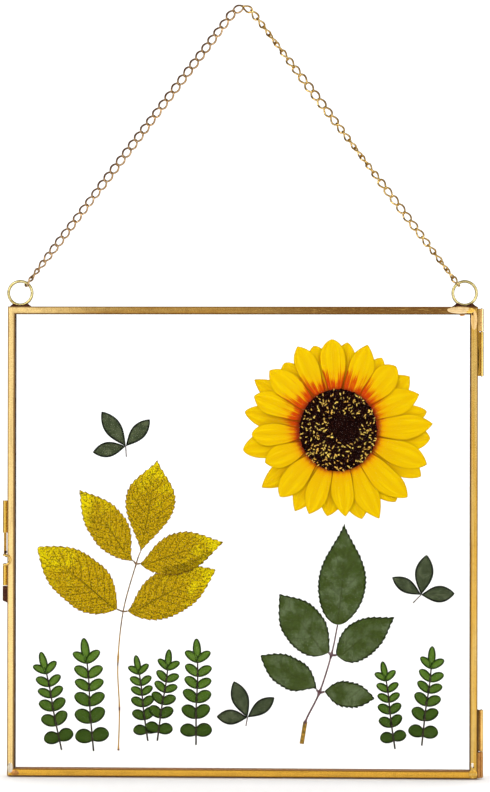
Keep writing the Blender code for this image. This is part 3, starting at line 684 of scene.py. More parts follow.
def channel_shape(half, quarter_turns):
    """One side of one half: the section drawn along the top, mitred, rounded and turned."""
    side = 1 if half == "back" else -1
    shape = bmesh.new()
    points = [Vector((-FRAME_HALF, side * (MATING_FACE + out), FRAME_HALF - inwards))
              for inwards, out in channel_section()]
    section = shape.faces.new([shape.verts.new(point) for point in points])
    drawn = bmesh.ops.extrude_face_region(shape, geom=[section])["geom"]
    ends = [item for item in drawn if isinstance(item, bmesh.types.BMVert)]
    bmesh.ops.translate(shape, vec=(2 * FRAME_HALF, 0, 0), verts=ends)
    for end in (-1, 1):
        everything = list(shape.verts) + list(shape.edges) + list(shape.faces)
        bmesh.ops.bisect_plane(shape, geom=everything, dist=MERGE, plane_co=(0, 0, 0),
                               plane_no=(end, 0, -1), clear_outer=True)
        fill_ends(shape)
    bmesh.ops.recalc_face_normals(shape, faces=shape.faces)
    face_y = side * (MATING_FACE + CHANNEL_DEPTH - settings().brass.crown)
    outer, inner = [], []
    for edge in shape.edges:
        first, second = (vertex.co for vertex in edge.verts)
        runs_along = abs(first.z - second.z) < MERGE and abs(first.y - second.y) < MERGE
        if runs_along and abs(first.y - face_y) < MERGE:
            (outer if first.z > FRAME_HALF - MERGE else inner).append(edge)
    rounding = settings().brass.rounding
    round_edges(shape, outer, rounding, 5)
    round_edges(shape, [edge for edge in inner if edge.is_valid], rounding / 2, 3)
    # faces facing the opening or lying within the groove take the second finish, painted shade
    inside_z = FRAME_HALF - CHANNEL_WIDTH * 0.98
    for face in shape.faces:
        middle = face.calc_center_median()
        faces_in = face.normal.z < -0.5 and middle.z < inside_z + CHANNEL_WIDTH * 0.5
        if faces_in or abs(middle.y) < abs(face_y) - FLANGE:
            face.material_index = 1 if middle.z < FRAME_HALF - MERGE else 0
    turn = Matrix.Translation((0, 0, FRAME_MIDDLE)) @ Matrix.Rotation(
        math.radians(90 * quarter_turns), 4, "Y")
    bmesh.ops.transform(shape, matrix=turn, verts=shape.verts)
    return shape


class FLOWERFRAME_OT_channels(bpy.types.Operator):
    """The eight brass channels of the two halves"""

    bl_idname = "flowerframe.channels"
    bl_label = "Brass channels"

    def execute(self, context):
        look = settings().brass
        # painted shade: the dark insides of the channels; the bottom one is lighter, painted light
        # from above
        inside = dark_inside()
        lit_inside = dark_inside("inside of the bottom", (0.17, 0.065, 0.016),
                                 (0.34, 0.165, 0.06))
        # the four sides are one brass; their different colours are painted reflection of the studio
        shaded_gold, bronze = (0.43, 0.275, 0.085), (0.42, 0.225, 0.045)
        amber = (0.64, 0.43, 0.13)
        top, right = FRAME_TOP - CHANNEL_WIDTH, FRAME_RIGHT - CHANNEL_WIDTH
        finishes = {
            "top": brass("brass of the top", shaded_gold, bronze, 0.3, "X", (-0.03, 0.055),
                         edges=("Z", top, FRAME_TOP)),
            "right": brass("brass of the right", amber, (0.62, 0.35, 0.05), 0.12, "Z",
                           edges=("X", right, FRAME_RIGHT)),
            "bottom": brass("brass of the bottom", (0.78, 0.43, 0.055), look.deep, 0.15, "X",
                            edges=("Z", FRAME_BOTTOM, FRAME_BOTTOM + CHANNEL_WIDTH)),
            "left": brass("brass of the left", look.pale, look.pale, 0.08, "Z",
                          edges=("X", FRAME_LEFT, FRAME_LEFT + CHANNEL_WIDTH - 0.3 * MM)),
        }
        for half, body in (("back", "back_half"), ("front", "door")):
            for turns, name in enumerate(("top", "right", "bottom", "left")):
                groove = lit_inside if name == "bottom" else inside
                piece(f"{half}_channel_{name}", channel_shape(half, turns),
                      [finishes[name], groove], body, [f"{half}_frame_{name}"])
        return {"FINISHED"}


class FLOWERFRAME_OT_corners(bpy.types.Operator):
    """Solder smoothed over the corners of the door"""

    bl_idname = "flowerframe.corners"
    bl_label = "Solder on the corners"

    def execute(self, context):
        look = settings().brass
        finishes = {"cream": brass("cream solder", (0.82, 0.64, 0.38), (0.62, 0.42, 0.17), 0.3,
                                   "X", roughness=0.4),
                    "blush": brass("blush solder", (0.82, 0.60, 0.34), (0.66, 0.42, 0.14), 0.15,
                                   "Z", roughness=0.4),
                    "silver": brass("silver solder", (0.86, 0.82, 0.74), (0.62, 0.55, 0.42),
                                    0.2, "Z", roughness=0.18),
                    "copper": brass("copper solder", (0.62, 0.30, 0.09), (0.45, 0.20, 0.05),
                                    0.4, "X"),
                    "yellow": brass("yellow solder", (0.88, 0.60, 0.16), look.deep, 0.3, "X"),
                    "dark": dark_solder()}
        shape = bmesh.new()
        for kind, x, z, wide, tall in CORNER_SOLDER:
            count = len(shape.faces)
            made = add_mound(shape, on_face((x, z)) + Vector((0, FRONT_FACE + 0.05 * MM, 0)),
                             (wide * MM, 0.22 * MM, tall * MM), segments=24)
            roughen(made, 0.10 * MM, 1.1 * MM, x)
            for vertex in made:
                place = vertex.co
                place.x = min(max(place.x, FRAME_LEFT), FRAME_RIGHT)
                place.z = min(max(place.z, FRAME_BOTTOM), FRAME_TOP)
            finish_from(shape, count, list(finishes).index(kind))
        piece("door_corner_solder", shape, list(finishes.values()), "door")
        return {"FINISHED"}


class FLOWERFRAME_OT_panes(bpy.types.Operator):
    """The two panes of glass"""

    bl_idname = "flowerframe.panes"
    bl_label = "Glass panes"

    def execute(self, context):
        glass = clear_glass()
        for half, side, body in (("back", 1, "back_half"), ("front", -1, "door")):
            shape = bmesh.new()
            bmesh.ops.create_cube(shape, size=1.0)
            size = Matrix.Diagonal((2 * PANE_HALF, PANE_OUTER - PANE_INNER, 2 * PANE_HALF, 1))
            place = Matrix.Translation((0, side * (PANE_INNER + PANE_OUTER) / 2, FRAME_MIDDLE))
            bmesh.ops.transform(shape, matrix=place @ size, verts=shape.verts)
            round_edges(shape, shape.edges[:], 0.2 * MM, 2)
            pane = piece(f"{half}_pane", shape, [glass], body, [f"{half}_glass"],
                         sharp=10)
            pane.visible_shadow = False
        return {"FINISHED"}


# Rings and chain

def wire_ring(wire, radius, sides, steps):
    """A shape that holds one ring of wire across Y; radius is to the middle of the wire."""
    shape = bmesh.new()
    section = bmesh.ops.create_circle(shape, radius=wire, segments=sides)["verts"]
    bmesh.ops.translate(shape, vec=(radius, 0, 0), verts=section)
    bmesh.ops.spin(shape, geom=shape.verts[:] + shape.edges[:], cent=(0, 0, 0), axis=(0, 1, 0),
                   dvec=(0, 0, 0), angle=math.tau, steps=steps, use_merge=True)
    return shape


class FLOWERFRAME_OT_rings(bpy.types.Operator):
    """The two rings and the solder that holds them on the top corners"""

    bl_idname = "flowerframe.rings"
    bl_label = "Rings and their solder"

    def execute(self, context):
        look = settings().brass
        wire = settings().chain.ring_wire
        olive = (0.44, 0.36, 0.12)
        ring_brass = brass("brass of the rings", (0.66, 0.58, 0.28), olive, 0.3, "Y",
                           painted_shade=((0.17, 0.13, 0.04), 0.4, 0.9))
        solder = dark_solder()
        for name, middle in RING_MIDDLE.items():
            shape = wire_ring(wire, RING_OUTER - wire, 14, 64)
            bmesh.ops.recalc_face_normals(shape, faces=shape.faces)
            # the layer tone paints shade along the inner and outer sides of the wire
            tones = shape.verts.layers.float.new("tone")
            for vertex in shape.verts:
                outward = math.hypot(vertex.co.x, vertex.co.z) - (RING_OUTER - wire)
                vertex[tones] = abs(outward) / wire
            bmesh.ops.translate(shape, vec=middle, verts=shape.verts)
            piece(name + "_hanging_ring", shape, [ring_brass], "back_half",
                  [name + "_ring"])

            low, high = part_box(name + "_ring_solder")
            self.add_solder(name, low, high, middle, solder)
        return {"FINISHED"}

    climb = {"left": 1.15 * MM, "right": 1.7 * MM}  # of the solder up the sides of a ring

    def add_solder(self, name, low, high, middle, solder):
        """Solder spreads along the top edge and climbs round the foot of the ring."""
        shape = bmesh.new()
        foot = low.z - 0.25 * MM
        reach = (high.x - low.x) / 2
        centre = Vector(((low.x + high.x) / 2, (low.y + high.y) / 2, foot))
        grid = bmesh.ops.create_grid(shape, x_segments=48, y_segments=16, size=1.0)["verts"]
        for vertex in grid:
            across, deep = vertex.co.x, vertex.co.y
            x = centre.x + across * reach
            from_ring = abs(x - middle.x) / (RING_OUTER * 0.75)
            feet = self.climb[name] * math.exp(-((from_ring - 0.72) / 0.30) ** 2)
            climb = feet + 1.05 * MM
            edge = (1 - across ** 2) ** 0.5 * (1 - deep ** 2) ** 0.5
            vertex.co = Vector((x, centre.y + deep * (high.y - low.y) / 2, foot + climb * edge))
        roughen(grid, 0.12 * MM, 1.3 * MM)
        for vertex in grid:
            vertex.co.z = min(max(vertex.co.z, foot), high.z)
            vertex.co.x = min(max(vertex.co.x, low.x), high.x)
        bmesh.ops.solidify(shape, geom=shape.faces[:], thickness=0.2 * MM)
        bmesh.ops.recalc_face_normals(shape, faces=shape.faces)
        piece(name + "_solder_mound", shape, [solder], "back_half",
              [name + "_ring_solder"])


def link_shape():
    """One link: a wire ring stretched to an oval whose two ends are turned against each other."""
    chain = settings().chain
    plain_radius = 4                            # of the ring before it is stretched, wire radius 1
    shape = wire_ring(1.0, plain_radius, 8, 28)
    half_length, half_width = LINK_LENGTH / 2 - chain.wire, LINK_WIDTH / 2 - chain.wire
    for vertex in shape.verts:
        outward = Vector((vertex.co.x, 0, vertex.co.z))
        angle = math.atan2(outward.z, outward.x)
        radial, sideways = outward.length - plain_radius, vertex.co.y
        twist = Matrix.Rotation(chain.link_twist * math.cos(angle), 3, "X")
        line = Vector((half_length * math.cos(angle), half_width * math.sin(angle), 0))
        slope = Vector((half_width * math.cos(angle), half_length * math.sin(angle), 0))
        around = slope.normalized() * radial + Vector((0, 0, sideways))
        vertex.co = twist @ (line + around * chain.wire)
    bmesh.ops.recalc_face_normals(shape, faces=shape.faces)
    return shape


def link_places(side):
    """Where the links of one run lie and point, from the hanging point to the ring."""
    slope = math.radians(TOP_LINK_SLOPE)
    outward = Vector((side * math.cos(slope), 0, -math.sin(slope)))
    start = outward * (LINK_LENGTH / 2 - TOP_LINK_OVERLAP[side]) - Vector((0, 0, 0.1 * MM))
    bend = start + outward * LINK_PITCH / 2
    ring_middle = RING_MIDDLE["left" if side < 0 else "right"]
    wire = settings().chain.ring_wire
    touch = ring_middle + (bend - ring_middle).normalized() * (RING_OUTER - wire)
    along = (touch - bend).normalized()
    last = touch - along * (LINK_LENGTH / 2 - 2 * LINK_SOLID_WIRE - GAP - wire)
    pitch = (last - bend).length / (LINKS_IN_RUN - 1.5)
    places = [(start, outward)]
    for index in range(LINKS_IN_RUN - 1):
        places.append((bend + along * pitch * (index + 0.5), along))
    return places


def left_roll(left, draw):
    """The left run shows its face and only turns edgeways over its last links."""
    turned = 90 * max(0.0, 1 - left / LEFT_RUN_TURNING) ** 1.5
    return math.radians(turned + 16 * math.sin(left * 0.55) + draw.uniform(-7, 7))


def right_roll(left, draw):
    """The right run turns steadily."""
    chain = settings().chain
    return chain.right_start + chain.right_turn * left + math.radians(draw.uniform(-5, 5))


class FLOWERFRAME_OT_chain(bpy.types.Operator):
    """The two runs of the curb chain"""

    bl_idname = "flowerframe.chain"
    bl_label = "Chain"

    def execute(self, context):
        one = link_shape()
        link = bpy.data.meshes.new("link")
        one.to_mesh(link)
        one.free()
        # the layer tone paints shade on one side of each link
        rose = brass("brass of the left run", (0.52, 0.36, 0.20), (0.34, 0.20, 0.08), 0.5, "Y",
                     painted_shade=((0.070, 0.036, 0.018), 0.0, 0.75))
        gold = brass("brass of the right run", (0.64, 0.46, 0.18), (0.42, 0.25, 0.05), 0.5, "Y",
                     painted_shade=((0.12, 0.065, 0.018), 0.1, 0.85))
        draw = random.Random(2)
        for name, side, roll_of, finish in (("left", -1, left_roll, rose),
                                            ("right", 1, right_roll, gold)):
            shape = bmesh.new()
            tones = shape.verts.layers.float.new("tone")
            places = link_places(side)
            for index, (place, along) in enumerate(places):
                roll = roll_of(len(places) - 1 - index, draw)
                across = along.cross(Vector((0, 1, 0))).normalized()
                axes = Matrix((along, across, across.cross(along))).transposed().to_4x4()
                count = len(shape.verts)
                shape.from_mesh(link)
                shape.verts.ensure_lookup_table()
                narrow = index == 0 or index >= len(places) - END_LINKS
                share = END_LINK_SHARE if narrow else 1.0
                matrix = (Matrix.Translation(place) @ axes @ Matrix.Rotation(roll, 4, "X")
                          @ Matrix.Diagonal((1, share, 1, 1)))
                bmesh.ops.transform(shape, matrix=matrix, verts=shape.verts[count:])
                # tone: painted shade, strongest on one side of the link
                for vertex in shape.verts[count:]:
                    vertex[tones] = (vertex.co - place).dot(across) * side / (LINK_WIDTH / 2)
            piece(name + "_chain_links", shape, [finish], "back_half",
                  [name + "_chain"])
        bpy.data.meshes.remove(link)
        return {"FINISHED"}


# Hinges and clasp

def add_tube(shape, x, y, low, high, outer, bore):
    """An upright tube with a bore."""
    for radius in (outer, bore):
        wall = bmesh.ops.create_cone(shape, cap_ends=False, segments=24, radius1=radius,
                                     radius2=radius, depth=1.0)["verts"]
        for vertex in wall:
            end = high if vertex.co.z > 0 else low
            vertex.co = Vector((x + vertex.co.x, y + vertex.co.y, end))
    loops = [edge for edge in shape.edges if edge.is_boundary]
    level = (low + high) / 2
    for top in (False, True):
        chosen = [edge for edge in loops if (edge.verts[0].co.z > level) == top]
        bmesh.ops.bridge_loops(shape, edges=chosen)
    bmesh.ops.recalc_face_normals(shape, faces=shape.faces)


def add_block(shape, low, high, rounding):
    """A block between two corners with rounded edges."""
    made = bmesh.ops.create_cube(shape, size=1.0)["verts"]
    size = Matrix.Diagonal((*(high - low), 1))
    bmesh.ops.transform(shape, matrix=Matrix.Translation((low + high) / 2) @ size, verts=made)
    edges = {edge for vertex in made for edge in vertex.link_edges}
    round_edges(shape, list(edges), rounding, 3)


class FLOWERFRAME_OT_hinges(bpy.types.Operator):
    """The two hinges on the right side: tubes, their solder and the wires in them"""

    bl_idname = "flowerframe.hinges"
    bl_label = "Hinges"

    sunk = 0.1 * MM                                 # of a joint into the side of the frame
    depth = 3.4 * MM                                # of a joint, from the middle of the frame
    out = 1.5 * MM                                  # of a joint, from the side of the frame
    thin_out = 0.7 * MM                             # where the tube stands clear of the frame

    def execute(self, context):
        # painted shade: the dark inside finish on the lower hinge's open joint and on the wires
        inside = dark_inside()
        # tube and joint of each hinge's upper and lower part
        finishes = {
            ("upper_hinge", True): (
                brass("cream tube", (0.92, 0.74, 0.46), (0.80, 0.58, 0.28), 0.2),
                brass("tan joint", (0.66, 0.44, 0.18), (0.52, 0.32, 0.10), 0.3)),
            ("upper_hinge", False): (
                brass("olive tube", (0.68, 0.52, 0.20), (0.58, 0.40, 0.09), 0.2),
                brass("olive joint", (0.54, 0.32, 0.05), (0.42, 0.24, 0.03), 0.2)),
            ("lower_hinge", True): (
                brass("golden tube", (0.82, 0.54, 0.18), (0.52, 0.30, 0.07), 0.3), inside),
            ("lower_hinge", False): (
                brass("copper tube", (0.52, 0.27, 0.09), (0.42, 0.20, 0.05), 0.3),
                brass("copper joint", (0.50, 0.25, 0.08), (0.38, 0.17, 0.04), 0.35)),
        }
        for hinge in ("upper_hinge", "lower_hinge"):
            front_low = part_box(hinge + "_front_knuckle")[0].z
            back_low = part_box(hinge + "_back_knuckle")[0].z
            both = (min(front_low, back_low), max(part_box(hinge + "_front_knuckle")[1].z,
                                                  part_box(hinge + "_back_knuckle")[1].z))
            for half, side, body in (("front", -1, "door"), ("back", 1, "back_half")):
                solid = f"{hinge}_{half}_knuckle"
                low, high = (corner.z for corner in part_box(solid))
                is_upper = low == max(front_low, back_low)
                shape = bmesh.new()
                add_tube(shape, HINGE_X, 0, low, high, HINGE_TUBE, HINGE_BORE)
                count = len(shape.faces)
                near, far = sorted((side * GAP, side * self.depth))
                open_gap = hinge == "lower_hinge" and is_upper
                out = self.thin_out if open_gap else self.out
                add_block(shape, Vector((FRAME_RIGHT - self.sunk, near, low)),
                          Vector((FRAME_RIGHT + out, far, high)), 0.25 * MM)
                if half == "back":
                    add_block(shape, Vector((FRAME_RIGHT - self.sunk, GAP, both[0])),
                              Vector((FRAME_RIGHT + 0.95 * MM, 1.6 * MM, both[1])), 0.2 * MM)
                finish_from(shape, count)
                if open_gap:
                    near, far = sorted((side * 0.4 * MM, side * HINGE_TUBE))
                    add_block(shape, Vector((FRAME_RIGHT + 0.6 * MM, near, low)),
                              Vector((HINGE_X, far, high)), 0.2 * MM)
                piece(solid + "_tube", shape, finishes[hinge, is_upper], body,
                      [solid])
            low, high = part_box(hinge + "_pin")
            shape = bmesh.new()
            radius = (high.x - low.x) / 2
            axis = [Vector((HINGE_X, 0, low.z + (high.z - low.z) * step / 6)) for step in range(7)]
            add_rod(shape, axis, radius, 12)
            piece(hinge + "_wire", shape, [inside], "back_half", [hinge + "_pin"])
        return {"FINISHED"}


class FLOWERFRAME_OT_clasp(bpy.types.Operator):
    """The wire clasp on the left side: two barrels, a foot of solder and the bent wire"""

    bl_idname = "flowerframe.clasp"
    bl_label = "Clasp"

    def execute(self, context):
        look = settings().brass
        # painted reflection: a dark band along the left sides of the barrels and the wire
        barrel_brass = brass("brass of the barrels", (0.86, 0.62, 0.15), (0.66, 0.44, 0.08),
                             0.2, "Z", edges=("X", CLASP_X - CLASP_TUBE, FRAME_LEFT + 2 * MM),
                             whole_depth=True)
        web_brass = brass("joint of the barrels", (0.42, 0.22, 0.02), (0.26, 0.12, 0.01), 0.3)
        wire_brass = brass("brass of the clasp wire", (0.80, 0.58, 0.18), (0.52, 0.32, 0.07),
                           0.3, "Z", edges=("X", CLASP_X - 1.1 * MM, FRAME_LEFT + 9 * MM),
                           whole_depth=True)
        # painted shade: the dark beads on the bend of the wire
        bead = dark_inside("dark bead", (0.010, 0.005, 0.002), (0.03, 0.012, 0.004))
        solder = dark_solder()
        for name in ("upper", "lower"):
            solid = f"clasp_{name}_barrel"
            low, high = (corner.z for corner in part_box(solid))
            shape = bmesh.new()
            add_tube(shape, CLASP_X, CLASP_Y, low, high, CLASP_TUBE, CLASP_BORE)
            count = len(shape.faces)
            x = FRAME_LEFT - 0.55 * MM
            web = [Vector((x, CLASP_Y, low + 0.5 * MM + (high - low - MM) * step / 16))
                   for step in range(17)]
            add_rod(shape, web, 0.5 * MM, 10)
            finish_from(shape, count)
            piece(solid + "_tube", shape, [barrel_brass, web_brass], "back_half",
                  [solid])
        low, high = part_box("clasp_foot")
        shape = bmesh.new()
        bmesh.ops.create_cube(shape, size=1.0)
        size = Matrix.Diagonal((*(high - low), 1))
        bmesh.ops.transform(shape, matrix=Matrix.Translation((low + high) / 2) @ size,
                            verts=shape.verts)
        for vertex in shape.verts:
            if vertex.co.z < (low.z + high.z) / 2 and vertex.co.x < (low.x + high.x) / 2:
                vertex.co.z += CLASP_TUBE
        round_edges(shape, shape.edges[:], 0.3 * MM, 3)
        piece("clasp_solder_foot", shape, [solder], "back_half", ["clasp_foot"])

        front = FRONT_FACE - CLASP_Y - GAP - CLASP_WIRE
        bottom = CRANK_TOP - 2 * CRANK_RADIUS
        upper = rounded_path([(0, 0, WIRE_TOP), (0, 0, CRANK_TOP), (0, front, CRANK_TOP),
                              (CRANK_REACH, front, CRANK_TOP)], CRANK_CORNER * 0.8)
        lower = rounded_path([(CRANK_REACH, front, bottom), (0, front, bottom), (0, 0, bottom),
                              (0, 0, WIRE_BOTTOM)], CRANK_CORNER * 0.8)
        bend = []
        for step in range(1, 12):
            angle = math.radians(90 - 15 * step)
            bend.append(Vector((CRANK_REACH + CRANK_RADIUS * math.cos(angle), front,
                                CRANK_TOP - CRANK_RADIUS * (1 - math.sin(angle)))))
        shape = bmesh.new()
        axis = Vector((CLASP_X, CLASP_Y, 0))
        path = upper + bend + lower
        radii = [CLASP_WIRE + (0.15 * MM if point.y > -0.1 * MM else 0.0) for point in path]
        add_rod(shape, [axis + point for point in path], radii, 12)
        count = len(shape.faces)
        # two dark beads at the top of the bend: painted shade
        for out, rise in ((0.30, 1.4), (0.70, -0.8)):
            add_mound(shape, axis + Vector((out * MM, -0.4 * MM, CRANK_TOP + rise * MM)),
                      (0.85 * MM, 0.9 * MM, 0.75 * MM), segments=12)
        finish_from(shape, count)
        piece("clasp_bent_wire", shape, [wire_brass, bead], "latch",
              ["clasp_wire"])
        return {"FINISHED"}


# Leaves and petals

def half_width(form, share):
    """How far a blade spreads at a share of its length, over its greatest width."""
    widest, base, tip, point = form
    power = math.log(0.5) / math.log(widest)
    slender = base if share < widest else tip
    spread = max(0.0, math.sin(math.pi * min(share, 1.0) ** power)) ** slender
    return spread * (1 - point * max(0.0, (share - POINT_START) / (1 - POINT_START)) ** 2)


def new_blades():
    """An empty shape with the layers that leaf and petal materials read."""
    shape = bmesh.new()
    shape.loops.layers.uv.new("UVMap")
    shape.verts.layers.float.new("margin")
    shape.verts.layers.float.new("tone")
    return shape


def add_blade(shape, base, tip, width, form, y, along=60, across=12, lean=0.5, tooth=None,
              relief=None, blunt=0.5, bow=0.0, skew=0.0, tone=0.5, foot=0.0, waves=None):
    """A leaf or petal: a grid mapped on to its outline, all in mm.

    lean is the share of the width on the left of the line from base to tip, tooth is (height,
    pitch) along the margin, relief gives the depth towards the viewer from the place on the
    blade, bow bends the middle line to the left, skew does so near the base only, foot is the
    least half width near the base and waves is (height, phase) of the waves of the margin.
    The layer margin holds the distance to the margin in mm.
    """
    base, tip = Vector(base), Vector(tip)
    axis = tip - base
    left = Vector((-axis.y, axis.x)).normalized()
    margin = shape.verts.layers.float["margin"]
    tones = shape.verts.layers.float["tone"]
    grid = bmesh.ops.create_grid(shape, x_segments=along, y_segments=across, size=0.5,
                                 calc_uvs=True)["verts"]
    for vertex in grid:
        step, side = vertex.co.x + 0.5, 2 * vertex.co.y
        share = step + (0.5 - math.cos(math.pi * step) / 2 - step) * blunt
        spread = width * half_width(form, share) * (lean if side > 0 else 1 - lean)
        if tooth:
            height, pitch = tooth
            saw = (share * axis.length / pitch + (0.5 if side > 0 else 0.0)) % 1.0
            fade = min(1.0, share / 0.12) * min(1.0, (1 - share) / 0.05)
            spread += height * (saw - 0.45) * fade * abs(side) ** 8
        if waves:
            height, phase = waves
            bend = math.sin(11 * share + phase * (2 + side)) * math.sin(math.pi * share)
            spread += height * bend * abs(side) ** 3
        if 0.0 < share < 0.5:
            spread = max(spread, foot)
        shift = bow * math.sin(math.pi * share) + skew * share * 10 * math.exp(1 - share * 10)
        place = base + axis * share + left * (side * spread + shift)
        vertex[margin] = spread * (1 - abs(side))
        vertex[tones] = tone(share, side) if callable(tone) else tone
        depth = relief(step, side) if relief else 0.0
        vertex.co = on_face(place, y - depth)
    bmesh.ops.remove_doubles(shape, verts=grid, dist=MERGE)
    return grid


def give_thickness(shape, thickness, skip=0):
    """Draws the sheets of a shape out away from the viewer, which closes them."""
    shape.normal_update()
    shape.faces.ensure_lookup_table()
    sheets = shape.faces[skip:]
    fronts = [face for face in sheets if face.normal.y < 0]
    bmesh.ops.reverse_faces(shape, faces=fronts)
    drawn = bmesh.ops.extrude_face_region(shape, geom=sheets, use_keep_orig=True)["geom"]
    backs = [item for item in drawn if isinstance(item, bmesh.types.BMVert)]
    bmesh.ops.translate(shape, vec=(0, thickness, 0), verts=backs)


def vein_lines(count, reach, depth):
    """Relief of a leaf: a sunk midrib and pairs of side veins that climb to the margin."""
    def relief(step, side):
        away = abs(side)
        midrib = math.exp(-(away / 0.05) ** 2) * (1 - 0.6 * step)
        phase = (step - reach * away ** 1.15) * count + (0.5 if side > 0 else 0.0)
        near = abs(phase - round(phase)) * 2
        swell = 0.5 * math.cos(math.pi * near) * (1 - away) * away * 4
        return depth * (swell - 2.0 * midrib)
    return relief


def leaf_finish(name, light, dark, veins, edge, rough=0.6, network=None, spots=0.0,
                patches=None, tips=None, rib=1.0, edge_width=0.5, tone_reach=0.0):
    """Material of a leaf. It reads the leaf's own map for the veins and its margin layer.

    veins is (colour, count, reach, strength), network is (cell in mm, strength), patches is
    (colour, size in mm, strength) and tips is the colour towards the tip.
    """
    finish = Finish(name, roughness=rough)
    chart = finish.chart()
    step, across = finish.axis(chart, "X"), finish.axis(chart, "Y")
    side = finish.times(finish.minus(across, 0.5), 2.0)
    away = finish.math("ABSOLUTE", side)
    grain = finish.grain(1.1, detail=5, roughness=0.7)
    cloud = finish.grain(0.16, detail=3)
    color = finish.mix(finish.ramp(grain, 0.3, 0.7), dark, light)
    if tips:
        reach = finish.ramp(finish.plus(step, finish.minus(cloud, 0.5)), 0.48, 1.08)
        color = finish.mix(reach, color, finish.mix(finish.ramp(grain, 0.3, 0.6), light, tips))
    if patches:
        tint, size, strength = patches
        patch = finish.grain(1 / size, (3, 1, 2), detail=3)
        color = finish.mix(finish.ramp(patch, 0.42, 0.68, 0.0, strength), color, tint)
    ink, count, reach, strength = veins
    climb = finish.times(finish.math("POWER", away, 1.15), reach)
    left = finish.math("GREATER_THAN", side, 0.0)
    phase = finish.times(finish.minus(step, climb), count)
    phase = finish.plus(phase, finish.times(left, 0.5))
    wander = finish.times(finish.minus(cloud, 0.5), 0.5)
    near = finish.math("PINGPONG", finish.plus(phase, wander), 0.5)
    lines = finish.ramp(near, 0.02, 0.10, strength, 0.0)
    midrib = finish.ramp(away, 0.012, 0.05, rib, 0.0)
    midrib = finish.times(midrib, finish.ramp(step, 0.15, 0.95, 1.0, 0.15))
    marks = finish.most(lines, midrib)
    if network:
        cell, share = network
        mesh = finish.grain(1 / cell, detail=2, distortion=0.8)
        ridge = finish.math("ABSOLUTE", finish.minus(mesh, 0.5))
        marks = finish.most(marks, finish.ramp(ridge, 0.006, 0.04, share, 0.0))
    if spots:
        dots = finish.grain(1.15, (5, 5, 5), detail=3)
        marks = finish.most(marks, finish.ramp(dots, 0.52, 0.60, 0.0, spots))
    color = finish.mix(marks, color, ink)
    rim = finish.ramp(finish.attribute("margin"), edge_width * 0.4, edge_width, 0.95, 0.0)
    color = finish.mix(rim, color, edge)
    if tone_reach:
        tone = finish.ramp(finish.attribute("tone"), 0.0, 1.0, 1 - tone_reach, 1 + tone_reach)
        color = finish.mix(1.0, color, finish.node("CombineXYZ", enumerate((tone,) * 3))
                           .outputs[0], "MULTIPLY")
    finish.set("base_color", color)
    finish.set("specular_ior_level", 0.03)
    finish.bump(finish.minus(grain, marks), 0.03 * MM)
    return finish.material


def stalk_finish(name, light, dark, size=1.2, foot=None, joints=()):
    """Material of a stalk; foot is (colour, height up to which it reaches, where it ends) and
    joints are the heights of its dark knots.
    """
    finish = Finish(name, roughness=0.6, specular_ior_level=0.08)
    grain = finish.grain(1 / size, detail=4, roughness=0.65)
    color = finish.mix(finish.ramp(grain, 0.4, 0.6), light, dark)
    up = finish.axis(finish.place((1, 1, 1), (0, 0, -FRAME_MIDDLE)), "Z")
    height = finish.over(up, MM)
    if foot:
        tint, full, ends = foot
        color = finish.mix(finish.ramp(height, full, ends, 0.85, 0.0), color, tint)
    for joint in joints:
        away = finish.math("ABSOLUTE", finish.minus(height, joint))
        color = finish.mix(finish.ramp(away, 0.7, 1.1, 0.9, 0.0), color, (0.09, 0.025, 0.012))
    finish.set("base_color", color)
    finish.bump(grain, 0.1 * MM)
    return finish.material


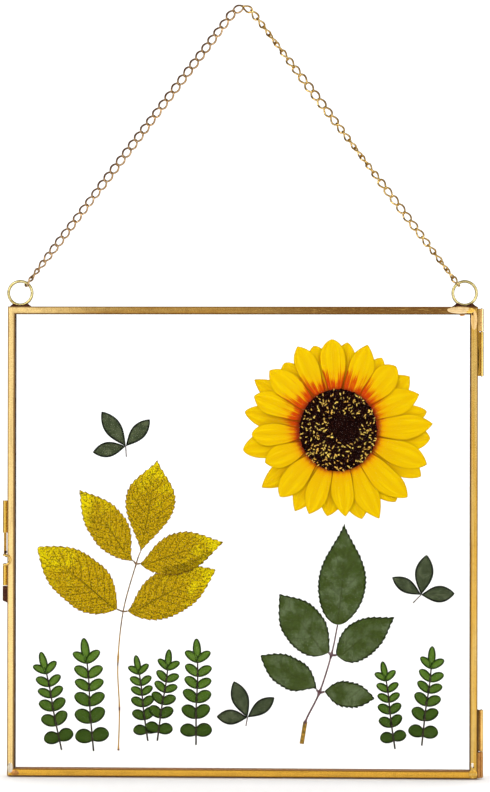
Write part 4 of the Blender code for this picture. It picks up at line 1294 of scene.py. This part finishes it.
def petal_finish():
    """Petals: ribbed yellow with painted shade along their edges and towards the disc, and flames
    that run out from the disc.
    """
    look = settings().flower
    finish = Finish("yellow petal", roughness=0.6)
    chart = finish.chart()
    across = finish.axis(chart, "Y")
    side = finish.times(finish.math("ABSOLUTE", finish.minus(across, 0.5)), 2.0)
    fine = finish.noise(finish.stretched(chart, (1.2, 26, 1)), detail=3)
    ribs = finish.noise(finish.stretched(chart, (0.9, 9, 1), (3, 0, 0)), detail=2)
    wide = finish.grain(0.12, detail=2)
    middle = SUNFLOWER_PLACE * MM
    around = finish.place((1, 1, 1), (-middle.x, 0, -FRAME_MIDDLE - middle.y))
    x, z = finish.axis(around, "X"), finish.axis(around, "Z")
    distance = finish.math("SQRT", finish.plus(finish.times(x, x), finish.times(z, z)))
    radius = finish.over(distance, MM)
    gold = (0.60, 0.34, 0.0)
    color = finish.mix(finish.ramp(ribs, 0.40, 0.62, 0.0, 0.7), look.petal, gold)
    color = finish.mix(finish.ramp(fine, 0.50, 0.72, 0.0, 0.6), color, (0.50, 0.26, 0.0))
    color = finish.mix(finish.ramp(wide, 0.45, 0.7, 0.0, 0.35), color, gold)
    # petals of the back ring lie in the shade of those in front of them
    tone = finish.ramp(finish.attribute("tone"), 0.6, 0.8)
    shade = finish.times(tone, finish.ramp(radius, 33, 44, 0.8, 0.08))
    color = finish.mix(shade, color, (0.46, 0.23, 0.0))
    # painted shade: darker golden towards the disc
    color = finish.mix(finish.ramp(radius, 23, 38, 0.5, 0.0), color, (0.62, 0.32, 0.0))
    # the flames are longest above the disc, a little to the left
    above = finish.over(finish.minus(finish.times(z, 0.97), finish.times(x, 0.26)), distance)
    patchy = finish.grain(0.16, detail=2)
    strong = finish.times(finish.ramp(above, -0.35, 0.95, 0.06, 1.0),
                          finish.ramp(patchy, 0.35, 0.6, 0.6, 1.2))
    crease = finish.math("POWER", side, 3.0)
    reach = finish.times(strong, finish.plus(3.3, finish.times(crease, 8.0)))
    streaks = finish.minus(finish.plus(fine, fine), 0.95)
    streaks = finish.times(streaks, finish.plus(4.0, finish.times(strong, 15.0)))
    reach = finish.plus(reach, streaks)
    beyond = finish.minus(radius, reach)
    color = finish.mix(finish.ramp(radius, 21.0, 25.5, 0.3, 0.0), color, (0.62, 0.20, 0.0))
    color = finish.mix(finish.ramp(beyond, 20.0, 26.5, 0.7, 0.0), color, (0.64, 0.22, 0.0))
    color = finish.mix(finish.ramp(beyond, 19.0, 24.0, 0.95, 0.0), color, look.flame)
    # painted shadow: nearly black at the roots along the rim of the disc
    root = finish.ramp(radius, 20.8, 24.0, 0.85, 0.0)
    color = finish.mix(root, color, (0.12, 0.012, 0.004))
    # painted shadow: dark lines along the petals' edges, darkest near the disc
    rim = finish.ramp(finish.attribute("margin"), 0.10, 0.80, 0.95, 0.0)
    rim = finish.times(rim, finish.ramp(radius, 26, 46, 1.0, 0.55))
    color = finish.mix(rim, color, finish.mix(finish.ramp(radius, 22, 36), (0.12, 0.03, 0.0),
                                              (0.32, 0.16, 0.0)))
    finish.set("base_color", color)
    finish.set("specular_ior_level", 0.02)
    finish.bump(finish.plus(fine, ribs), 0.10 * MM)
    return finish.material


class FLOWERFRAME_OT_petals(bpy.types.Operator):
    """The two rings of petals of the sunflower"""

    bl_idname = "flowerframe.petals"
    bl_label = "Sunflower petals"

    def execute(self, context):
        look = settings().flower
        finish = petal_finish()
        draw = random.Random(11)
        for name, petals, level, step in (("back", BACK_PETALS, 0.70, 0.13),
                                          ("front", FRONT_PETALS, -0.05, 0.20)):
            shape = new_blades()
            for index, (direction, reach) in enumerate(petals):
                angle = math.radians(direction)
                ray = Vector((math.cos(angle), math.sin(angle)))
                phase = draw.uniform(0, 1)
                tilt = draw.uniform(0.06, 0.13) * draw.choice((-1, 1))
                ribs = draw.choice((2.0, 2.5, 3.0))

                def relief(along, side, phase=phase, tilt=tilt, ribs=ribs):
                    wave = math.cos(math.pi * (side * ribs + phase)) * (1 - side ** 4)
                    curl = -0.10 * side ** 4
                    return look.rib_depth / MM * wave + tilt * side + curl

                y = level + (step if index % 2 else -step)
                width = PETAL_WIDTH * draw.uniform(0.95, 1.12)
                form = (PETAL_BLADE[0] * draw.uniform(0.9, 1.08), PETAL_BLADE[1],
                        PETAL_BLADE[2] * draw.uniform(1.0, 1.45), *PETAL_BLADE[3:])
                add_blade(shape, SUNFLOWER_PLACE + ray * PETAL_ROOT,
                          SUNFLOWER_PLACE + ray * reach, width, form, y, along=44,
                          across=16, lean=draw.uniform(0.44, 0.56), relief=relief, blunt=1.0,
                          bow=draw.uniform(-0.8, 0.8), waves=(0.32, draw.uniform(0, 3)),
                          tone=0.85 if name == "back" else draw.uniform(0.0, 0.5))
            give_thickness(shape, 0.2 * MM)
            piece(f"sunflower_{name}_ray_petals", shape, [finish], "back_half",
                  [f"sunflower_{name}_petals"], sharp=60)
        return {"FINISHED"}


class FLOWERFRAME_OT_disc(bpy.types.Operator):
    """The dark disc of the sunflower with its florets and pollen grains"""

    bl_idname = "flowerframe.disc"
    bl_label = "Sunflower disc"

    rim_depth = -0.42
    middle_depth = -0.88

    def height(self, place):
        """Depth of the dome at a place in mm from its middle."""
        share = min(1.0, math.hypot(place.x, place.y / DISC_STRETCH) / DISC_RADIUS)
        return self.rim_depth + (self.middle_depth - self.rim_depth) * (1 - share ** 2)

    def execute(self, context):
        look = settings().flower
        dark = Finish("dark disc", roughness=0.75, specular_ior_level=0.01)
        grain = dark.grain(1.3, detail=4)
        dark.set("base_color", dark.mix(dark.ramp(grain, 0.45, 0.8), look.disc,
                                        (0.040, 0.012, 0.006)))
        dark.bump(grain, 0.2 * MM)
        gold = Finish("pollen grain", roughness=0.5, specular_ior_level=0.3)
        tint = gold.grain(0.22, detail=1)
        shade = gold.mix(gold.ramp(tint, 0.40, 0.66, 0.0, 0.8), look.grain, (0.72, 0.34, 0.03))
        gold.set("base_color", gold.mix(gold.attribute("tone"), shade, (0.26, 0.15, 0.02)))
        draw = random.Random(5)

        shape = new_blades()
        add_mound(shape, on_face(SUNFLOWER_PLACE, self.rim_depth + 0.1),
                  (DISC_RADIUS * MM, 0.55 * MM, DISC_RADIUS * DISC_STRETCH * MM), segments=64)
        self.add_florets(shape, draw)
        count = len(shape.faces)
        self.add_grains(shape, draw, look.grains)
        finish_from(shape, count)
        piece("sunflower_disc_head", shape, [dark.material, gold.material], "back_half",
              ["sunflower_disc"], sharp=50)
        return {"FINISHED"}

    def add_florets(self, shape, draw):
        """Closed florets in the spirals of a sunflower, as small blunt studs."""
        for index in range(FLORETS):
            share = math.sqrt((index + 0.5) / FLORETS)
            angle = index * math.pi * (3 - math.sqrt(5))
            place = Vector((math.cos(angle), math.sin(angle) * DISC_STRETCH)) * DISC_RADIUS * share
            stud = bmesh.ops.create_cone(shape, cap_ends=True, segments=6, radius1=0.62 * MM,
                                         radius2=0.28 * MM, depth=0.5 * MM)["verts"]
            turn = Matrix.Rotation(math.radians(90), 4, "X")
            spin = Matrix.Rotation(draw.uniform(0, 1), 4, "Y")
            depth = self.height(place) + draw.uniform(-0.05, 0.1)
            where = Matrix.Translation(on_face(SUNFLOWER_PLACE + place, depth))
            bmesh.ops.transform(shape, matrix=where @ spin @ turn, verts=stud)

    def add_grains(self, shape, draw, wanted):
        """Pollen grains strewn over the disc, thick towards its rim and none in its middle."""
        tones = shape.verts.layers.float["tone"]
        made = 0
        while made < wanted:
            angle = draw.uniform(0, math.tau)
            share = math.sqrt(draw.uniform(0.03, 0.99))
            place = Vector((math.cos(angle), math.sin(angle) * DISC_STRETCH)) * DISC_RADIUS * share
            from_quiet = (place - QUIET_MIDDLE).length / QUIET_RADIUS
            if from_quiet < draw.uniform(0.85, 1.35):
                continue
            made += 1
            length, width = draw.uniform(0.42, 0.88) * MM, draw.uniform(0.24, 0.36) * MM
            outward = math.atan2(place.y, place.x)
            lie = outward + draw.gauss(0, 0.75)
            size = Matrix.Diagonal((length, 0.16 * MM, width, 1))
            turn = Matrix.Rotation(-lie, 4, "Y")
            where = Matrix.Translation(on_face(SUNFLOWER_PLACE + place, self.height(place) - 0.13))
            grain = bmesh.ops.create_uvsphere(shape, u_segments=6, v_segments=4,
                                              radius=1.0)["verts"]
            stand = Matrix.Rotation(math.radians(90), 4, "Y")
            bmesh.ops.transform(shape, matrix=where @ turn @ size @ stand, verts=grain)
            tone = 0.85 * draw.uniform(0, 1) ** 1.4
            for vertex in grain:
                vertex[tones] = tone


def add_stem(shape, path, radius, y, knots=(), thin_end=1.0, sides=8):
    """A stalk with thicker knots; knots are (share of its length, how much thicker)."""
    line = [on_face(point, y) for point in smooth_path(path)]
    radii = []
    for index in range(len(line)):
        share = index / (len(line) - 1)
        swell = 1 + (thin_end - 1) * share
        for place, more in knots:
            swell += more * math.exp(-((share - place) / 0.012) ** 2)
        radii.append(radius * MM * swell)
    add_rod(shape, line, radii, sides)


def compound_leaf(name, leaf, stem, blades, tooth, veins, front=(), stub=None):
    """The stalk and the five leaflets of a compound leaf; stub is a thick foot of the stalk."""
    look = settings().leaf
    radius, knots, thin_end, stalk_material, slot = stem
    shape = new_blades()
    add_stem(shape, leaf["stalk"], radius, STALK_LAYER, knots, thin_end)
    for pair in leaf["pairs"]:
        add_stem(shape, pair, radius * 1.1, STALK_LAYER)
    materials = [stalk_material]
    if stub:
        stub_material, path, thick = stub
        materials.append(stub_material)
        count = len(shape.faces)
        low, high = (Vector(point) for point in path)
        line = [low.lerp(high, step / 6) for step in range(7)]
        add_stem(shape, line, thick, STALK_LAYER, [(0.97, 0.25)], 0.95, sides=12)
        finish_from(shape, count)
        for vertex in {vertex for face in shape.faces[count:] for vertex in face.verts}:
            vertex.co.y = (vertex.co.y - STALK_LAYER * MM) * 0.5 + STALK_LAYER * MM
    piece(name + "_stalk", shape, materials, "back_half", [name + "_stem"])
    blade_material, blade_slot = blades

    def overlap(share, side):
        """Tone of the leaflet in front, with painted shade where it lies over the one behind it."""
        return 0.0 if side < -0.5 and 0.25 < share < 0.84 else 0.5

    for which, (joint, tip, width, form, skew, bow) in leaf["leaflets"].items():
        shape = new_blades()
        relief = vein_lines(veins[0], veins[1], look.vein_depth / MM)
        y = FRONT_LAYER if which in front else BACK_LAYER
        add_blade(shape, joint, tip, width, form, y, along=120, across=36, tooth=tooth,
                  relief=relief, blunt=0.35, bow=bow, skew=skew, foot=0.35,
                  tone=overlap if which in front else 0.5)
        give_thickness(shape, look.thickness)
        piece(f"{name}let_{which}_blade", shape, [blade_material], "back_half",
              [f"{name}let_{which}"], sharp=60)


class FLOWERFRAME_OT_yellow_leaf(bpy.types.Operator):
    """The yellow compound leaf"""

    bl_idname = "flowerframe.yellow_leaf"
    bl_label = "Yellow leaf"

    def execute(self, context):
        look = settings().leaf
        veins = (11, 0.22)
        blade = leaf_finish(
            "yellow leaf", look.yellow, (0.30, 0.17, 0.002),
            ((0.085, 0.060, 0.002), *veins, 0.75), (0.15, 0.070, 0.003), rough=0.5,
            network=(2.6, 0.6), spots=0.95, tips=look.lemon, edge_width=0.5, tone_reach=0.35)
        stalk = stalk_finish("olive stalk", (0.24, 0.14, 0.06), (0.08, 0.04, 0.02),
                             foot=((0.44, 0.25, 0.06), -60, -42), joints=(-111.6, -89.3, -65.6))
        knots = [(0.0, 0.6), (0.21, 0.7), (0.42, 0.9), (0.80, 0.5)]
        compound_leaf("yellow_leaf", YELLOW_LEAF, (0.38, knots, 0.8, stalk, "olive_stalk"),
                      (blade, "yellow_leaf"), (look.tooth / MM * 1.8, 3.0), veins,
                      front=("upper_right",))
        return {"FINISHED"}


class FLOWERFRAME_OT_green_leaf(bpy.types.Operator):
    """The green compound leaf"""

    bl_idname = "flowerframe.green_leaf"
    bl_label = "Green leaf"

    def execute(self, context):
        look = settings().leaf
        veins = (8, 0.2)
        blade = leaf_finish(
            "green leaf", look.green, (0.030, 0.050, 0.009),
            ((0.022, 0.024, 0.005), *veins, 0.4), (0.005, 0.010, 0.001), rough=0.6,
            network=(3.2, 0.5), spots=0.3, patches=((0.125, 0.160, 0.080), 9.0, 0.65),
            rib=0.6, edge_width=1.35)
        stalk = stalk_finish("purple stalk", (0.17, 0.10, 0.11), (0.045, 0.015, 0.018), 0.9)
        knots = [(0.25, 0.6), (0.5, 1.1), (0.75, 0.9)]
        stub = (stalk_finish("orange stub", (0.40, 0.21, 0.025), (0.12, 0.075, 0.010), 1.6),
                GREEN_LEAF["stalk"][:2], 1.15)
        compound_leaf("green_leaf", GREEN_LEAF, (0.55, knots, 0.7, stalk, "purple_stalk"),
                      (blade, "green_leaf"), (look.tooth / MM * 1.7, 2.7), veins, stub=stub)
        return {"FINISHED"}


class FLOWERFRAME_OT_three_leaf_sprigs(bpy.types.Operator):
    """The three dark sprigs of three leaflets"""

    bl_idname = "flowerframe.three_leaf_sprigs"
    bl_label = "Three-leaf sprigs"

    def execute(self, context):
        look = settings().leaf
        veins = (7, 0.15)
        blade = leaf_finish(
            "grey green leaf", look.grey_green, (0.028, 0.038, 0.017),
            ((0.110, 0.130, 0.070), *veins, 0.2), (0.006, 0.008, 0.005), rough=0.6,
            patches=((0.085, 0.100, 0.052), 4.0, 0.6), rib=0.35, edge_width=1.5)
        stalk = stalk_finish("grey purple stalk", (0.18, 0.13, 0.13), (0.07, 0.05, 0.05))
        for name, (joint, foot, leaflets) in THREE_LEAF_SPRIGS.items():
            shape = new_blades()
            add_stem(shape, [foot, (Vector(foot) + Vector(joint)) / 2, joint], 0.32, BACK_LAYER)
            count = len(shape.faces)
            relief = vein_lines(*veins, look.vein_depth / MM)
            for tip, width in leaflets:
                add_blade(shape, joint, tip, width, THREE_LEAF_BLADE, BACK_LAYER, along=48,
                          across=14, relief=relief, blunt=0.7)
            give_thickness(shape, look.thickness, count)
            finish_from(shape, count)
            piece(f"three_leaf_sprig_{name}_leaves", shape, [stalk, blade], "back_half",
                  ["three_leaf_sprig_" + name], sharp=60)
        return {"FINISHED"}


class FLOWERFRAME_OT_small_sprigs(bpy.types.Operator):
    """The seven small sprigs of round leaves"""

    bl_idname = "flowerframe.small_sprigs"
    bl_label = "Small sprigs"

    def execute(self, context):
        look = settings().leaf
        blade = leaf_finish(
            "small green leaf", look.small_green, (0.038, 0.085, 0.010),
            ((0.12, 0.20, 0.06), 5, 0.2, 0.10), (0.006, 0.014, 0.001), rough=0.6,
            patches=((0.070, 0.115, 0.020), 3.0, 0.5), rib=0.3, edge_width=1.3,
            tone_reach=0.48)
        stalk = stalk_finish("dark sprig stem", (0.040, 0.030, 0.018), (0.016, 0.010, 0.008))
        draw = random.Random(3)
        for number, (tip, foot) in enumerate(SMALL_SPRIGS, start=1):
            y = FRONT_LAYER if number == FRONT_SPRIG else BACK_LAYER
            shape = new_blades()
            self.add_sprig(shape, Vector(tip), Vector(foot), y, draw)
            piece(f"small_sprig_{number}_leaves", shape, [stalk, blade], "back_half",
                  [f"small_sprig_{number}"], sharp=60)
        return {"FINISHED"}

    @staticmethod
    def add_sprig(shape, tip, foot, y, draw):
        look = settings().leaf
        down = foot - tip
        height = down.length
        right = Vector((-down.y, down.x)).normalized()
        up = -down.normalized()

        def on_stem(share):
            bow = STEM_BOW * math.sin(math.pi * min(share * 1.6, 1.0))
            return tip + down * share + right * bow * height

        shares = (1.0, 0.886, 0.738, 0.59, 0.46, 0.347, TIP_LEAF_SHARE)
        knots = [((1 - place) / (1 - TIP_LEAF_SHARE), 0.35) for place in shares[1:-1]]
        add_stem(shape, [on_stem(share) for share in shares], 0.48, y, knots, 0.85)
        count = len(shape.faces)
        relief = vein_lines(5, 0.2, look.vein_depth / MM)
        add_blade(shape, on_stem(TIP_LEAF_SHARE + 0.02), tip, height * 0.080, LONG_BLADE, y,
                  along=24, across=8, relief=relief, blunt=1.0, tone=1.0)
        for row, (place, length, width, *slopes) in enumerate(SPRIG_PAIRS):
            joint = on_stem(place)
            tone = 1.0 - 0.16 * row
            for side, slope in zip((-1, 1), slopes):
                slope = math.radians(slope)
                reach = right * side * math.cos(slope) + up * math.sin(slope)
                start = joint - reach * 0.6
                add_blade(shape, start, joint + reach * length * height,
                          width * height * draw.uniform(0.96, 1.04), ROUND_BLADE,
                          y - 0.02 * (side + 1), along=24, across=10, lean=0.5 + side * 0.08,
                          relief=relief, blunt=1.0, tone=tone + draw.uniform(-0.06, 0.06))
        give_thickness(shape, look.thickness, count)
        finish_from(shape, count)


# Studio

class FLOWERFRAME_OT_stage(bpy.types.Operator):
    """The camera, the pale floor, the white backdrop and the soft lights"""

    bl_idname = "flowerframe.stage"
    bl_label = "Studio"

    camera_place = (0.0450, -0.2116)                # across and up
    camera_aim = (0.0014, -0.2075)
    camera_roll = math.radians(0.1)
    photo_height = 421.69 * MM                      # what the picture takes in, top to bottom
    sensor = 36.0

    def execute(self, context):
        self.add_camera(context.scene)
        self.add_floor()
        self.add_world(context.scene)
        self.add_lamp("key light", (-0.85, -1.15, 0.45), 0.9, settings().stage.key)
        self.add_lamp("fill light", (0.95, -1.0, 0.15), 0.9, settings().stage.key * 0.45)
        context.scene.view_settings.view_transform = "Standard"
        return {"FINISHED"}

    def add_camera(self, scene):
        distance = settings().stage.distance
        data = bpy.data.cameras.new("camera")
        data.sensor_width = self.sensor
        data.lens = self.sensor * distance / self.photo_height
        data.clip_start = 0.01
        data.clip_end = 100
        camera = bpy.data.objects.new("camera", data)
        place = Vector((self.camera_place[0], -distance, self.camera_place[1]))
        aim = Vector((self.camera_aim[0], 0, self.camera_aim[1]))
        camera.location = place
        turn = (aim - place).to_track_quat("-Z", "Y")
        camera.rotation_euler = (turn.to_matrix() @ Matrix.Rotation(self.camera_roll, 3, "Z")
                                 ).to_euler()
        scene.collection.objects.link(camera)
        scene.camera = camera

    @staticmethod
    def add_floor():
        shape = bmesh.new()
        bmesh.ops.create_grid(shape, x_segments=1, y_segments=1, size=5)
        bmesh.ops.translate(shape, vec=(0, 0, FRAME_BOTTOM - 0.6 * MM), verts=shape.verts)
        finish = Finish("pale floor", roughness=0.9, specular_ior_level=0.1)
        grain = finish.noise(finish.place((40, 40, 40)), detail=3)
        away = finish.math("ABSOLUTE", finish.axis(finish.place(), "Y"))
        pale = finish.mix(grain, (0.845, 0.84, 0.845), (0.86, 0.855, 0.86))
        # painted shadow: a darker band of floor within 35 mm of the frame
        pale = finish.mix(finish.ramp(away, 0.0, 0.035, 0.5, 0.0), pale, (0.62, 0.61, 0.62))
        # painted shade and light: darker near the frame, paler away from it where the lamps light
        # it less
        near = finish.ramp(away, 0.03, 1.2)
        finish.set("base_color", finish.mix(near, pale, (0.95, 0.95, 0.95)))
        in_scene("floor", shape, [finish.material])

    @staticmethod
    def add_lamp(name, place, size, power):
        """A large soft lamp aimed at the middle of the frame."""
        data = bpy.data.lights.new(name, "AREA")
        data.shape = "SQUARE"
        data.size = size
        data.energy = power
        lamp = bpy.data.objects.new(name, data)
        lamp.location = place
        aim = Vector((0, 0, FRAME_MIDDLE)) - lamp.location
        lamp.rotation_euler = aim.to_track_quat("-Z", "Y").to_euler()
        bpy.context.scene.collection.objects.link(lamp)

    @staticmethod
    def add_world(scene):
        """White behind the frame, and round it a studio that is darker towards the lens."""
        world = bpy.data.worlds.new("studio")
        world.use_nodes = True
        scene.world = world
        world.node_tree.nodes.clear()
        nodes = Nodes(world.node_tree)
        node, step = nodes.node, nodes.ramp
        direction = node("TexCoord").outputs["Generated"]
        axes = node("SeparateXYZ", [(0, direction)])
        lens_side = Vector((0.03, -1.0, 0.0)).normalized()
        toward_lens = node("VectorMath", [(0, direction), (1, lens_side)],
                           operation="DOT_PRODUCT").outputs["Value"]
        upper_left = node("VectorMath", [(0, direction), (1, (-0.66, -0.2, 0.72))],
                          operation="DOT_PRODUCT").outputs["Value"]
        stage = settings().stage
        front = step(toward_lens, -0.25, 0.75, 0.30, 1.0)
        left_to_right = step(axes.outputs["X"], -0.2, 0.2, 1.06, 0.94)
        dark_corner = step(upper_left, 0.35, 0.85, 1.0, 0.25)
        mirrored = nodes.times(nodes.times(front, left_to_right), dark_corner)
        behind = step(axes.outputs["Y"], -0.1, 0.4, 1.0, stage.behind)
        mirror = node("LightPath").outputs["Is Glossy Ray"]
        level = node("Mix", [(0, mirror), (2, behind), (3, mirrored)]).outputs[0]
        room = node("Background", [("Color", (1.0, 0.985, 0.96, 1)),
                                   ("Strength", nodes.times(level, stage.studio))])
        white = node("Background", [("Color", (1, 1, 1, 1)), ("Strength", stage.backdrop)])
        path = node("LightPath")
        straight = nodes.math("LESS_THAN", path.outputs["Diffuse Depth"], 0.5)
        through = nodes.times(path.outputs["Is Transmission Ray"], straight)
        seen = nodes.most(path.outputs["Is Camera Ray"], through)
        blend = node("MixShader", [(0, seen), (1, room.outputs[0]), (2, white.outputs[0])])
        node("OutputWorld", [("Surface", blend.outputs[0])])


class FLOWERFRAME_PT_panel(bpy.types.Panel):
    """The pieces of the frame and their settings"""

    bl_idname = "FLOWERFRAME_PT_panel"
    bl_label = "Pressed flower frame"
    bl_space_type = "VIEW_3D"
    bl_region_type = "UI"
    bl_category = "Flower frame"

    def draw(self, context):
        for operator in OPERATORS:
            self.layout.operator(operator.bl_idname)
        for group in GROUPS[:-1]:
            name = group.__name__.replace("Settings", "").lower()
            box = self.layout.box()
            box.label(text=name.title())
            held = getattr(settings(), name)
            for value in held.__annotations__:
                box.prop(held, value)


GROUPS = (BrassSettings, ChainSettings, FlowerSettings, LeafSettings, StageSettings,
          FlowerFrameSettings)
OPERATORS = (
    FLOWERFRAME_OT_stage, FLOWERFRAME_OT_channels, FLOWERFRAME_OT_corners,
    FLOWERFRAME_OT_panes, FLOWERFRAME_OT_rings, FLOWERFRAME_OT_chain, FLOWERFRAME_OT_hinges,
    FLOWERFRAME_OT_clasp, FLOWERFRAME_OT_petals, FLOWERFRAME_OT_disc,
    FLOWERFRAME_OT_yellow_leaf, FLOWERFRAME_OT_green_leaf, FLOWERFRAME_OT_three_leaf_sprigs,
    FLOWERFRAME_OT_small_sprigs,
)


def register():
    for item in (*GROUPS, *OPERATORS, FLOWERFRAME_PT_panel):
        bpy.utils.register_class(item)
    bpy.types.Scene.pressed_flower_frame = PointerProperty(type=FlowerFrameSettings)


def unregister():
    del bpy.types.Scene.pressed_flower_frame
    for item in reversed((*GROUPS, *OPERATORS, FLOWERFRAME_PT_panel)):
        bpy.utils.unregister_class(item)


def main():
    register()
    for operator in OPERATORS:
        group, name = operator.bl_idname.split(".")
        getattr(getattr(bpy.ops, group), name)()


if __name__ == "__main__":
    main()
